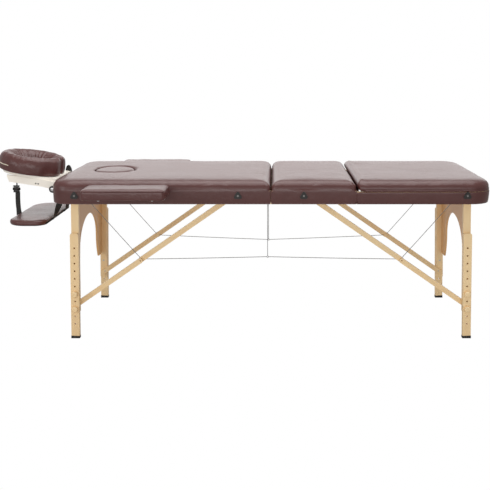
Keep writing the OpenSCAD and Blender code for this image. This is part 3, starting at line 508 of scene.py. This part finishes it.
def skirt(name, xa, xb, ra, rb, drop):
    """The cover where it comes down over the rails and is turned under them."""
    s = 1 if xb > xa else -1
    xb += s * 0.0012
    if drop[0]:
        xa -= s * 0.0006
    inner = [(0.0013, 0.6588), (0.0013, 0.6050), (0.0160, 0.6048), (0.0160, 0.6038), (0.0018, 0.6038),
             (0.0006, 0.6046)]
    loops = [level(d, z, xa, xb, 0.002 if drop[0] else ra, 0.002, drop, max(d, 0)) for d, z in inner + SKIRT]
    loops.append(level(0.0010, BOARD, xa, xb, ra, rb, drop, 0.0010))
    return loft(name, loops, VINYL, closed=True)


def held_on_board(c):
    """How firmly each place of a pad is held: all along the board, hardly at the rounded
    edge, and by the glued foam over the middle."""
    if c[2] < 0.6670:
        return 1.0
    if c[2] < 0.7010:
        return 0.14 + 0.86 * max(0.0, (0.6900 - c[2]) / 0.023) ** 1.5
    return 0.62


def board_line(xa, xb, ra, rb, hole=None):
    """Brings the lower border of a pad to its exact line round the board."""
    edge = level(PAD[0][0], 0, xa, xb, ra, rb, ends=0.0)[:, :2]

    def snap(mesh):
        bm = bmesh.new()
        bm.from_mesh(mesh)
        for v in bm.verts:
            if hole:
                cx, a, b = hole
                e = math.hypot((v.co.x - cx) / a, v.co.y / b)
                if e < 1.0 or (v.co.z < 0.690 and e < 1.06):
                    v.co.x, v.co.y = cx + (v.co.x - cx) / e, v.co.y / e
                    continue
            if v.is_boundary:
                near = edge[np.argmin(np.sum((edge - [v.co.x, v.co.y]) ** 2, axis=1))]
                v.co = (near[0], near[1], v.co.z)
        bm.to_mesh(mesh)
        bm.free()
    return snap


def padded_top(name, xa, xb, ra, rb, drop, hole=None):
    """A pad and its skirt: loops from the board up to the middle of the top, or to the rim
    of the face hole and down its wall, then let out as cloth."""
    loops = [level(d, z, xa, xb, ra, rb, ends=max(d, 0)) for d, z in [(PAD[0][0], 0.6400)] + PAD]
    snap = board_line(xa, xb, ra, rb, hole)
    if hole:
        last = loops[-1]
        cx, a, b = hole
        ang = np.arctan2(last[:, 1] / b, (last[:, 0] - cx) / a)

        def ring(grow, z):
            return np.column_stack([cx + (a + grow) * np.cos(ang), (b + grow) * np.sin(ang),
                                    np.full(len(ang), z)])
        rim = ring(0, CREST)
        loops += [last + (rim - last) * k for k in (0.25, 0.5, 0.75)]
        loops += [ring(*q) for q in ((0.030, CREST), (0.018, 0.7038), (0.010, 0.7026), (0.0045, 0.7004),
                                     (0.0014, 0.6965), (0, 0.6920), (0, 0.6800), (0, 0.6400))]
        pad = loft(name, loops, VINYL, closed=True)
    else:
        loops.append(level(0.165, CREST, xa, xb, ra, rb))
        pad = loft(name, loops, VINYL)
    fill_out(pad, 0.0105, held_on_board, 0.006, base=0.6586, rim=snap)
    return merged(pad, skirt(name + "_skirt", xa, xb, ra, rb, drop))


def on_top(c):
    """Where a top may swell: above the board, less on the flat."""
    return 0 if c.z < 0.663 else (1 if c.z < 0.700 else 0.55)


PLUG = FOLD - 0.713  # middle of the face hole
head_top = padded_top("head_padded_top", FOLD - END, FOLD - 0.0015, CORNER, 0.016, (False, True),
                      hole=(PLUG, 0.0903, 0.1043))
swell(head_top, 0.13, 0.0022, on_top)
gather(head_top, both_corners(FOLD - 0.006), 0.0010, 0.045)
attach(head_top, "head_top")
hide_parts("head_pad")


# Face-hole plug
# A small padded oval that fills the face hole; its own cover is drawn tight over the edge,
# so a dark seam runs round it. It lifts straight out.


def oval_pad(name, cx, a, b, levels, n=128):
    """An oval pad from loops at levels, each a distance in from its edge and a height."""
    return loft(name, [np.array([(cx + (a - d) * math.cos(i * 2 * math.pi / n),
                                  (b - d) * math.sin(i * 2 * math.pi / n), z) for i in range(n)])
                       for d, z in levels], VINYL)


plug = oval_pad("face_plug_pad", PLUG, 0.0884, 0.1024, [
    (0.0085, 0.6556), (0.0010, 0.6600), (0.0002, 0.6660), (0.0004, 0.6800), (0.0010, 0.6900),
    (0.0024, 0.6955), (0.0054, 0.6995), (0.0100, 0.7020), (0.0160, 0.7034), (0.0260, 0.7042),
    (0.0440, 0.7046), (0.0640, 0.7048), (0.0800, 0.7049)])
fill_out(plug, 0.0036, lambda c: 1 if c[2] < 0.688 else (0.3 if c[2] < 0.701 else 0.55), 0.005)
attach(plug, "plug")
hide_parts("face_plug")


# Foot half: middle section
# The fixed pad between the fold and the lift-back, upholstered like the head half; its
# vinyl is gathered where it turns in at the gap beside the lift-back.
LIFT = FOLD + 0.384
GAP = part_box("middle_pad")[1][0]
middle_top = padded_top("middle_padded_top", GAP, FOLD + 0.0015, 0.016, 0.016, (True, True))
swell(middle_top, 0.12, 0.0022, on_top)
gather(middle_top, both_corners(FOLD + 0.006), 0.0010, 0.045)
gather(middle_top, both_corners(GAP - 0.004), 0.0019, 0.060)
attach(middle_top, "foot_top")
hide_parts("middle_pad")


# Foot half: upholstered band of the base
# Under the lift-back the rails carry their own strip of vinyl, from the gap round the end
# and back; it is turned under the rails and stapled.


def rounded(name, parts, bevel, material):
    """A small fitting from blocks (centre and size), with its edges rounded."""
    bm = bmesh.new()
    for place, box in parts:
        made = bmesh.ops.create_cube(bm, size=1)["verts"]
        bmesh.ops.scale(bm, vec=box, verts=made)
        bmesh.ops.translate(bm, vec=place, verts=made)
    bmesh.ops.bevel(bm, geom=list(bm.edges), offset=bevel, segments=3, affect="EDGES")
    mesh = bpy.data.meshes.new(name)
    bm.to_mesh(mesh)
    bm.free()
    return smooth_piece(name, mesh, material)


pts, fold = outline(FOLD + END, GAP + 0.0006, HALF, CORNER, 0.002)[:2]
order = [i for i in range(len(pts)) if fold[i] == 0]
cut = next(k for k in range(1, len(order)) if order[k] - order[k - 1] > 1)
order = order[cut:] + order[:cut]
path = np.array([pts[i] for i in order])
along = np.gradient(path, axis=0)
along /= np.linalg.norm(along, axis=1)[:, None]
inward = np.column_stack([along[:, 1], -along[:, 0]])
inward *= np.sign(np.sum(inward * (np.array([FOLD + 0.6, 0]) - path), axis=1))[:, None]
section = [(0.0006, 0.6548), (-0.0008, 0.6545), (-0.0018, 0.6535), (-0.0019, 0.6480), (-0.0016, 0.6350),
           (-0.0010, 0.6220), (-0.0002, 0.6120), (0.0010, 0.6060), (0.0018, 0.6038), (0.0160, 0.6038),
           (0.0160, 0.6048), (0.0013, 0.6049), (0.0012, 0.6540)]
rows = [np.array([(*(path[i] + inward[i] * d), z) for d, z in section]) for i in range(len(path))]
base_band = loft("base_band", rows, VINYL)
swell(base_band, 0.09, 0.0006, lambda c: 1 if 0.61 < c.z < 0.65 else 0)
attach(base_band, "foot_top")

# the same vinyl lines the open gap beside the lift-back, and shows behind the band's ends
lining = rounded("gap_lining", [
    ((GAP + 0.014, 0, 0.6536), (0.044, 0.560, 0.0014)),
    (((GAP + LIFT - 0.022) / 2, 0, 0.6536), (LIFT - 0.006 - GAP, 0.634, 0.0014))], 0.0005, VINYL)
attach(lining, "foot_top")
for sign in (-1, 1):
    liner = rounded("band_end_" + ("near" if sign < 0 else "far"),
                    [((GAP, sign * 0.3497, 0.6303), (0.012, 0.0020, 0.0480))], 0.0005, VINYL)
    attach(liner, "foot_top")


# Lift-back section
# The hinged foot section: foam on its own board. Its front edge is a full roll that turns
# about the hinge beside the middle section; its vinyl is stapled under the board.
ROLL = 0.0246  # radius of the rolled front edge
front = LIFT - ROLL
loops = []
for k, (d, z) in enumerate([(0.012, 0.6566), (0.0015, 0.6566), (-0.0010, 0.6580), (-0.0018, 0.6620),
                            *PAD[1:]]):
    pts, fold = outline(FOLD + END - max(d, 0), front, HALF - d, max(CORNER - d, 0.002), 0.020)[:2]
    turn = math.pi * (1 - min(1.0, k / 12))
    roll_in = ROLL * (1 - math.sin(turn)) if k <= 12 else max(d, ROLL + (k - 12) * 0.008)
    roll_z = 0.6808 + 0.0243 * math.cos(turn) if k <= 12 else z
    share = fold * fold * (3 - 2 * fold)
    pts[:, 0] += roll_in * share
    loops.append(np.column_stack([pts, z + (roll_z - z) * share]))
loops.append(level(0.22, CREST, FOLD + END, front, CORNER, 0.020))
lift_top = loft("lift_padded_top", loops, VINYL)


def lift_hold(c):
    """Like the other tops, but the rolled front edge is held all round."""
    if c[2] < 0.6660 or c[0] < LIFT - 0.004:
        return 1.0
    return 0.14 + 0.86 * max(0.0, (0.6880 - c[2]) / 0.022) ** 1.5 if c[2] < 0.7010 else 0.62


fill_out(lift_top, 0.0105, lift_hold, 0.006)
for v in lift_top.data.vertices:
    v.co.z = max(v.co.z, 0.6562)
hem = [(0.0120, 0.6572), (0.0120, 0.6559), (0.0012, 0.6557), (-0.0004, 0.6560), (-0.0014, 0.6574),
       (-0.0020, 0.6600), (-0.0021, 0.6630), (-0.0014, 0.6655), (0.0040, 0.6655)]
merged(lift_top, loft("lift_hem", [
    level(d, z, FOLD + END, LIFT + 0.002, CORNER, 0.012, (False, True), max(d, 0)) for d, z in hem],
    VINYL, closed=True))
swell(lift_top, 0.13, 0.0022, lambda c: on_top(c) if c.x > LIFT else 0)
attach(lift_top, "lift_back")
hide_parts("lift_pad")


# Armrests
# Two box-shaped padded boards on steel rods that push into holes in the side rails; the
# vinyl has a piped seam round the upper edge, puckered between its stitches.


def round_angles(n):
    """Angles evenly spaced round a circle."""
    return [2 * math.pi * j / n for j in range(n)]


def turned(name, place, profile, axis, material):
    """A turned fitting: radius and distance pairs round an axis through a place."""
    axis = Vector(axis).normalized()
    u = axis.orthogonal().normalized()
    v = axis.cross(u)
    loops = [np.array([tuple(Vector(place) + axis * h + (u * math.cos(w) + v * math.sin(w)) * r)
                       for w in round_angles(40)]) for r, h in profile]
    return with_creases(loft(name, loops, material), 0.7)


def tube(name, path, radius, material, closed=False):
    """A round cord along a path of points."""
    path = [Vector(q) for q in path]
    count = len(path)
    loops, u = [], None
    for i, q in enumerate(path):
        ahead = path[(i + 1) % count] if closed else path[min(i + 1, count - 1)]
        behind = path[i - 1] if closed or i else path[0]
        way = (ahead - behind).normalized()
        u = way.orthogonal().normalized() if u is None else (u - way * u.dot(way)).normalized()
        v = way.cross(u)
        loops.append(np.array([tuple(q + (u * math.cos(w) + v * math.sin(w)) * radius)
                               for w in round_angles(10)]))
    return loft(name, loops, material, closed=closed)


for side, sign in (("near", -1), ("far", 1)):
    node, body = "armrest_" + side, "rest_" + side
    a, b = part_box(node)
    x0, x1, cy = a[0], b[0], sign * 0.42675
    loops = []
    for d, z in [(0.020, 0.6440), (0.006, 0.6440), (0.0020, 0.6448), (0.0006, 0.6475), (0.0, 0.6540),
                 (0.0, 0.6660), (0.0004, 0.6760), (0.0016, 0.6812), (0.0040, 0.6842), (0.0080, 0.6862),
                 (0.0140, 0.6876), (0.0240, 0.6888), (0.0380, 0.6894), (0.0520, 0.6896)]:
        pts = outline(x0 + d, x1 - d, 0.0742 - d, max(0.015 - d * 0.5, 0.003), max(0.015 - d * 0.5, 0.003),
                      (60, 30, 8))[0]
        loops.append(np.column_stack([pts[:, 0], pts[:, 1] + cy, np.full(len(pts), z)]))
    rest = loft(side + "_armrest", loops, VINYL)

    def rest_hold(c):
        """Held on its board and along the seam, free to swell between them."""
        if c[2] < 0.6500 or abs(c[2] - 0.6815) < 0.0035:
            return 1.0
        return 0.25 if c[2] < 0.679 else 0.5

    fill_out(rest, 0.0045, rest_hold, 0.005)
    rest.data.update()
    seam_line = []
    for x, y in outline(x0 + 0.0016, x1 - 0.0016, 0.0726, 0.014, 0.014, (150, 64, 14))[0]:
        _, place, normal, _ = rest.closest_point_on_mesh(Vector((x, y + cy, 0.6822)))
        seam_line.append(place + normal * 0.0002)
    for v, nrm in [(v, v.normal.copy()) for v in rest.data.vertices]:
        near = abs(v.co.z - 0.6815) / 0.008
        if near < 1:
            run = v.co.x if abs(v.co.y - cy) > 0.06 else v.co.y
            pucker = math.sin(run / 0.0015 * 0.5 + 4 * noise.noise(v.co / 0.04))
            v.co -= nrm * (1 - near) ** 2 * (0.0007 + 0.0006 * pucker)
    swell(rest, 0.05, 0.0012, lambda c: 1 if c.z > 0.652 else 0)
    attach(rest, body)
    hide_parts(node)
    piping = tube(side + "_armrest_piping", seam_line, 0.0015, VINYL, closed=True)
    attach(piping, body)
    for k, rx in enumerate((x0 + 0.060, x1 - 0.060)):
        rod = turned(f"{side}_armrest_rod_{k}", (rx, sign * 0.313, 0.6377),
                     [(0.0045, 0), (0.0060, 0.0015), (0.0060, 0.1255), (0.0045, 0.127)], (0, sign, 0), STEEL)
        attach(rod, body)


# Face cradle: fittings of the frame
# The tilting arms turn on a steel bolt with a broad black washer under its head; two dark
# wood screws hold each arm to the plate.
PIVOT = Vector((FOLD - 0.966, 0, 0.632))  # where the cradle tilts
place = (PIVOT.x, -0.1322, PIVOT.z)
washer = turned("clamp_washer", place, [
    (0.0148, 0.0002), (0.0154, 0.0010), (0.0154, 0.0062), (0.0144, 0.0076), (0.0112, 0.0078),
    (0.0096, 0.0077)], (0, -1, 0), BLACK)
bolt = turned("clamp_bolt_head", place, [
    (0.0080, 0.0066), (0.0084, 0.0080), (0.0078, 0.0096), (0.0056, 0.0104), (0.0030, 0.0104),
    (0.0028, 0.0086)], (0, -1, 0), STEEL)
for o, finish in ((washer, "black_plastic"), (bolt, "steel")):
    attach(o, "cradle_frame")
for sign, side in ((-1, "near"), (1, "far")):
    for k, dx in enumerate((-0.0055, 0.0055)):
        screw = turned(f"{side}_arm_screw_{k}", (FOLD - 1.034 + dx, sign * 0.1318, 0.657 - dx * 0.15),
                       [(0.0030, 0), (0.0032, 0.0006), (0.0026, 0.0013), (0.0010, 0.0015)],
                       (0, sign, 0), BLACK)
        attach(screw, "cradle_head")


# Face cradle: cushion
# A horseshoe of soft foam on the tilting plate, lower round the face opening than at its
# crest. Its vinyl is one tube, gathered in deep pleats round the opening and stapled under.
TILT = math.radians(8.7)
HEAD = Matrix.Translation(PIVOT) @ Matrix(((-math.cos(TILT), 0, math.sin(TILT), 0), (0, -1, 0, 0),
                                           (math.sin(TILT), 0, math.cos(TILT), 0), (0, 0, 0, 1)))
MID, R_OUT, R_IN = 0.132, 0.149, 0.056  # middle and radii of the horseshoe
W0, FACE = 0.0463, 0.0775  # its underside, over the pivot, and its depth
SLIT = 0.118  # half the gap between its ends, in radians
SWEEP = 2 * math.pi - 2 * SLIT
BOWL = [(0.10, 0), (0.50, 0), (0.90, 0), (0.98, 0.12), (1, 0.34), (0.98, 0.60), (0.90, 0.85), (0.76, 0.98),
        (0.62, 1), (0.42, 0.92), (0.22, 0.75), (0.06, 0.50), (0, 0.25)]
around, turns = 64, 330
ring = []
for j in range(around):  # a smooth closed curve through the section
    u = j / around * len(BOWL)
    i, k = int(u), u % 1
    p0, p1, p2, p3 = (np.array(BOWL[(i + q) % len(BOWL)]) for q in (-1, 0, 1, 2))
    ring.append(0.5 * (2 * p1 + (p2 - p0) * k + (2 * p0 - 5 * p1 + 4 * p2 - p3) * k * k
                       + (3 * p1 - p0 - 3 * p2 + p3) * k ** 3))


def pleat(phi):
    """0 in the fold of a gather, 1 on its crest; the gathers stand at uneven distances."""
    return abs(math.sin(phi * 15 + 0.9 * math.sin(phi * 4 + 1) + 0.5 * math.sin(phi * 9))) ** 0.7


loops = []
for i in range(turns + 1):
    phi = -math.pi + SLIT + SWEEP * i / turns
    end = min(i, turns - i) / turns * SWEEP * 0.1
    k = 0.35 + 0.65 * math.sqrt(max(0.0, 1 - max(0.0, 1 - end / 0.014) ** 2))
    loop = []
    for w, h in ring:
        w = 0.5 + (w - 0.5) * k
        h = h * (0.6 + 0.4 * k)
        deep = max(0.0, 1 - max(0.0, w) / 0.78) ** 1.3 * min(1, max(0.0, h + 0.05) / 0.25)
        cut = 0.0062 * deep * (1 - pleat(phi))
        outer = max(0.0, (w - 0.62) / 0.38) * min(1, max(0.0, h) / 0.2)
        cut += 0.0016 * outer * (1 - abs(math.sin(phi * 19 + 1.7 * math.sin(phi * 3))) ** 0.6)
        r = R_IN + (R_OUT - R_IN) * w + cut * (0.8 if w < 0.3 else 0.1) - 0.0006 * outer
        z = W0 + FACE * max(0.0, h) - cut * min(1.0, 1.6 * h)
        x = MID + r * math.cos(phi)
        x = 0.0026 + math.log(1 + math.exp((x - 0.0026) / 0.0028)) * 0.0028
        loop.append((x, r * math.sin(phi), z))
    loops.append(np.array(loop))
cushion = loft("face_cushion", loops, VINYL)


def crease(c):
    """The cover is held along the folds of its gathers, at the opening and on the plate."""
    r, phi = math.hypot(c[0] - MID, c[1]), math.atan2(c[1], c[0] - MID)
    w = (r - R_IN) / (R_OUT - R_IN)
    if c[2] < W0 + 0.004 or c[0] < 0.006:
        return 1.0
    return 0.30 + 0.65 * max(0.0, 1 - w / 0.8) * (1 - pleat(phi)) ** 0.8


fill_out(cushion, 0.0034, crease, 0.005, slack=-0.015)
for v in cushion.data.vertices:
    v.co.z = max(v.co.z, W0 + 0.0002)
    v.co.x = max(v.co.x, 0.0022)
    if abs(v.co.y) < 0.011 and v.co.x < MID - R_IN * 0.6:
        v.co.y = math.copysign(0.0102, v.co.y)
swell(cushion, 0.035, 0.0022, lambda c: 1 if c.z > W0 + 0.012 and c.x > 0.008 else 0)
strip_path = []
for i in range(91):
    phi = math.radians(-62 + 124 * i / 90)
    far, z = R_OUT - 0.0005, W0 + 0.38 * FACE
    _, place, nrm, _ = cushion.closest_point_on_mesh(
        Vector((MID + (far + 0.004) * math.cos(phi), (far + 0.004) * math.sin(phi), z)))
    strip_path.append(HEAD @ (place + nrm * 0.0006))
cushion.data.transform(HEAD)
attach(cushion, "cradle_head")
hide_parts("cradle_cushion")

# Woven webbing: two crossed wave bands
weave, given, result = group(
    "weave", [("Vector", VEC, None), ("Scale", FLT, 380.0)], [("Normal", VEC), ("Mask", FLT)])
warp_threads = add(weave, "ShaderNodeTexWave", {"bands_direction": "Z"})
weft_threads = add(weave, "ShaderNodeTexWave", {"bands_direction": "DIAGONAL"})
crossed = add(weave, "ShaderNodeMath", {"operation": "MULTIPLY"})
raised = add(weave, "ShaderNodeBump", Strength=0.5, Distance=0.0008)
for threads in (warp_threads, weft_threads):
    wire(weave, (given, "Vector", threads, "Vector"), (given, "Scale", threads, "Scale"))
wire(weave, (warp_threads, "Fac", crossed, 0), (weft_threads, "Fac", crossed, 1),
     (crossed, 0, raised, "Height"), (raised, 0, result, "Normal"), (crossed, 0, result, "Mask"))

# an ivory strip laid along the outside of the cushion round its far end, part way up its side
IVORY, surface, grain = shader("ivory_strip", weave, Scale=700.0)
two_tone(surface, grain, "Mask", (0.62, 0.55, 0.42), (0.80, 0.74, 0.62))
put(surface, Roughness=0.7)
strip_tube = tube("cushion_ivory_strip", strip_path, 0.0020, IVORY)
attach(strip_tube, "cradle_head")


# Arm shelf
# A thin padded board hung under the cradle on webbing: vinyl over the top, a black
# non-woven cloth over the underside, stapled and turned up at the rear edge.
x0, x1 = FOLD - 1.155, FOLD - 0.983
loops = []
for d, z in [(0.020, 0.4852), (0.006, 0.4852), (0.0018, 0.4864), (0.0006, 0.4900), (0.0005, 0.4950),
             (0.0012, 0.4995), (0.0034, 0.5036), (0.0072, 0.5064), (0.0130, 0.5082), (0.0240, 0.5092),
             (0.0450, 0.5095), (0.0700, 0.5096)]:
    pts = outline(x0 + d, x1 - d, 0.233 - d, max(0.080 - d, 0.01), max(0.050 - d, 0.01), (60, 110, 16))[0]
    loops.append(np.column_stack([pts, np.full(len(pts), z)]))
shelf = loft("arm_shelf_pad", loops, VINYL)
fill_out(shelf, 0.0045, lambda c: 1 if c[2] < 0.494 else (0.3 if c[2] < 0.507 else 0.6), 0.005)
for v in shelf.data.vertices:
    v.co.z = max(v.co.z, 0.4850)
    v.co.x = min(v.co.x, x1 - 0.0004)
swell(shelf, 0.06, 0.0010, lambda c: 1 if c.z > 0.496 else 0)
CLOTH, surface, grain = shader("black_cloth", weave, Scale=900.0)
two_tone(surface, grain, "Mask", (0.010, 0.010, 0.011), (0.022, 0.021, 0.021))
put(surface, Roughness=0.85)
shelf.data.materials.append(CLOTH)
for q in shelf.data.polygons:
    if q.normal.z < -0.4 or q.center.z < 0.4885 or (q.center.x > x1 - 0.004 and q.center.z < 0.497):
        q.material_index = 1
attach(shelf, "shelf")
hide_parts("arm_shelf")


# Webbing straps
# Black nylon webbing with stitched ends. A rear strap loops round each cradle rod and twists
# to lie on the shelf's rear edge; one front strap rises from under the shelf to a
# side-release buckle, and a thin lace ties the buckle to the plate above.
WEB, surface, grain = shader("webbing", weave, Scale=420.0)
two_tone(surface, grain, "Mask", (0.010, 0.009, 0.009), (0.040, 0.037, 0.035))
span(surface, grain, "Mask", 0.62, 0.80)


def ribbon(name, path, wide, thick, across):
    """A flat strap along a path; across is the direction of its width, one for all or each."""
    path = [Vector(q) for q in path]
    if not isinstance(across, list):
        across = [across] * len(path)
    loops = []
    for i, q in enumerate(path):
        tangent = (path[min(i + 1, len(path) - 1)] - path[max(i - 1, 0)]).normalized()
        side = Vector(across[i])
        side = (side - tangent * side.dot(tangent)).normalized()
        out = tangent.cross(side)
        loops.append(np.array([tuple(q + side * (u * wide / 2) + out * (v * thick / 2)) for u, v in (
            (-1, -0.5), (-0.92, -1), (-0.5, -1), (0, -1), (0.5, -1), (0.92, -1), (1, -0.5),
            (1, 0.5), (0.92, 1), (0.5, 1), (0, 1), (-0.5, 1), (-0.92, 1), (-1, 0.5))]))
    return loft(name, loops, WEB)


tab = ribbon("shelf_webbing_tab", [(FOLD - 1.1563 + 0.0357 * k / 12, 0, 0.4836) for k in range(13)],
             0.0225, 0.0018, (0, 1, 0))
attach(tab, "shelf")
for side, sign in (("near", -1), ("far", 1)):
    # up from the shelf's rear edge, round the rod and back down, stitched under the rod
    x, y, z0, r = FOLD - 0.937, sign * 0.1, 0.632, 0.0112
    path, across = [], []
    for k in range(31):
        u = k / 30
        z = 0.4895 + (0.606 - 0.4895) * u
        turn = math.radians(90) * (1 - min(1.0, max(0.0, (u - 0.10) / 0.62))) ** 1.2
        ease = min(1.0, u / 0.9)
        path.append((FOLD - 0.9816 + (0.9816 - 0.937) * ease ** 0.9, y + 0.0008 * ease, z))
        across.append((math.cos(turn), math.sin(turn), 0))
    for k in range(25):
        w = math.radians(-80 + 340 * k / 24)
        path.append((x, y + r * math.cos(w), z0 + r * math.sin(w)))
        across.append((1, 0, 0))
    for dz in (0.016, 0.026, 0.036, 0.046):
        path.append((x - 0.0004, y - 0.0016 - 0.0004 * (dz < 0.02), z0 - dz))
        across.append((1, 0, 0))
    rear = ribbon(f"rear_strap_{side}", path, 0.0250, 0.0014, across)
    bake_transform(rear)
    if sign < 0:
        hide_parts("rear_straps")
for ply, lean in (("outer", 1), ("inner", -1)):
    # two plies, side by side on the shelf and close together higher up
    path = []
    for k in range(50):
        u = k / 49
        z = 0.4872 + (0.5960 - 0.4872) * u
        apart = max(0.0, 1 - u / 0.42) ** 1.7
        path.append((FOLD - 1.1655 - lean * 0.0040 * apart - 0.0025 * math.sin(u * math.pi),
                     lean * (0.0008 + 0.0030 * apart), z))
    strap = ribbon(f"front_strap_{ply}", path, 0.0215, 0.0012, (1, 0, 0))
    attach(strap, "shelf_strap")
    if ply == "outer":
        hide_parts("front_strap")
buckle = rounded("side_release_buckle", [((FOLD - 1.170 + dx, 0, z), (w, d, h)) for dx, z, w, d, h in (
    (0, 0.6115, 0.0270, 0.0086, 0.0170), (0, 0.5990, 0.0300, 0.0066, 0.0062),
    (0, 0.6250, 0.0290, 0.0066, 0.0070), (-0.0155, 0.6120, 0.0036, 0.0052, 0.0130),
    (0.0155, 0.6120, 0.0036, 0.0052, 0.0130), (0, 0.6185, 0.0240, 0.0070, 0.0040))], 0.0013, BLACK)
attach(buckle, "shelf_strap")
for dx, dy in ((-0.0016, 0.0006), (0.0016, -0.0006)):
    lace = tube("front_lace_" + ("a" if dx < 0 else "b"),
                [(FOLD - 1.1668 + dx, dy, 0.6262 + 0.0690 * k / 20) for k in range(21)], 0.0015, WEB)
    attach(lace, "shelf_strap")


# Steel cables
# Thin wire ropes that stop the braces: from the leg axle to each brace's middle joint, and
# from joint to joint through a ring that hangs from the fold.
ROPE, surface, grain = shader("wire_rope", fleck, Scale=1800.0, Depth=0.5)
put(surface, Metallic=0.85, Roughness=0.38)
two_tone(surface, grain, "Value", (0.16, 0.16, 0.17), (0.38, 0.38, 0.39))


def rope(name, a, b, sag, radius=0.0013, n=60):
    """A wire rope from a to b with a little sag and a twist in its section."""
    a, b = Vector(a), Vector(b)
    axis = (b - a).normalized()
    u = axis.cross(Vector((0, 1, 0))).normalized()
    v = axis.cross(u)
    loops = []
    for i in range(n + 1):
        k = i / n
        q = a.lerp(b, k) + Vector((0, 0, -sag * 4 * k * (1 - k)))
        loops.append(np.array([tuple(q + (u * math.cos(w) + v * math.sin(w)) * radius *
                                     (1 + 0.10 * math.cos(6 * (w + k * (b - a).length * 260))))
                               for w in round_angles(12)]))
    return loft(name, loops, ROPE)


CABLE_Y = 0.2416  # beside the inner face of the braces
AXLE_X, AXLE_Z = 0.816, 0.640  # the legs' axle, from the fold
JOINT_X, JOINT_Z = 0.5668, 0.3414  # the braces' middle joint
AXLE_EYE, JOINT_EYE = 0.0043, 0.0093  # where a cable ends short of them
for e, sx in (("head", -1), ("foot", 1)):
    for side, sign in (("near", -1), ("far", 1)):
        y = sign * CABLE_Y
        ax = Vector((FOLD + sx * AXLE_X, y, AXLE_Z))
        jt = Vector((FOLD + sx * JOINT_X, y, JOINT_Z))
        way = (jt - ax).normalized()
        o = rope(f"{e}_diagonal_cable_{side}", ax + way * AXLE_EYE, jt - way * JOINT_EYE, 0.002)
        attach(o, f"{e}_top")
        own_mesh(o)
        if sign < 0:
            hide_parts(f"{e}_cables")
        # the ring hangs a little lower on the far side, where its cord is longer
        knot = Vector((FOLD - 0.015, y, 0.352 if sign < 0 else 0.318))
        way = (jt - knot).normalized()
        o = rope(f"{e}_level_cable_{side}", knot + way * 0.002, jt - way * JOINT_EYE, 0.001)
        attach(o, f"{e}_top")
        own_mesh(o)
        if sign < 0 and e == "head":
            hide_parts("centre_cables")
        if e == "head":
            o = rope(f"hanger_{side}", (knot.x, y, 0.6030), (knot.x, y, knot.z + 0.002), 0)
            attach(o, "head_top")
            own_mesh(o)
            o = tube(f"cable_ring_{side}", [
                (knot.x + 0.0042 * math.cos(w), y, knot.z + 0.0042 * math.sin(w))
                for w in round_angles(32)], 0.0011, STEEL, closed=True)
            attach(o, "head_top")
            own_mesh(o)


# Floor
# The photograph has a plain white ground with no visible shadow, so the floor only bounces
# light: it is seen as white by the camera and as a pale matt floor by everything else.
bm = bmesh.new()
bmesh.ops.create_grid(bm, x_segments=1, y_segments=1, size=12)
mesh = bpy.data.meshes.new("floor")
bm.to_mesh(mesh)
bm.free()
floor = bpy.data.objects.new("floor", mesh)
scene.collection.objects.link(floor)
fm = bpy.data.materials.new("floor_white")
fm.use_nodes = True
tree = fm.node_tree
surface = tree.nodes["Principled BSDF"]
put(surface, Base_Color=(0.50, 0.49, 0.48, 1), Roughness=0.8)
shine = add(tree, "ShaderNodeEmission", i0=(1, 1, 1, 1))
either = add(tree, "ShaderNodeMixShader")
ray = add(tree, "ShaderNodeLightPath")
wire(tree, (ray, "Is Camera Ray", either, 0), (surface, 0, either, 1), (shine, 0, either, 2),
     (either, 0, tree.nodes["Material Output"], 0))
mesh.materials.append(fm)
floor.location.z = -0.0005
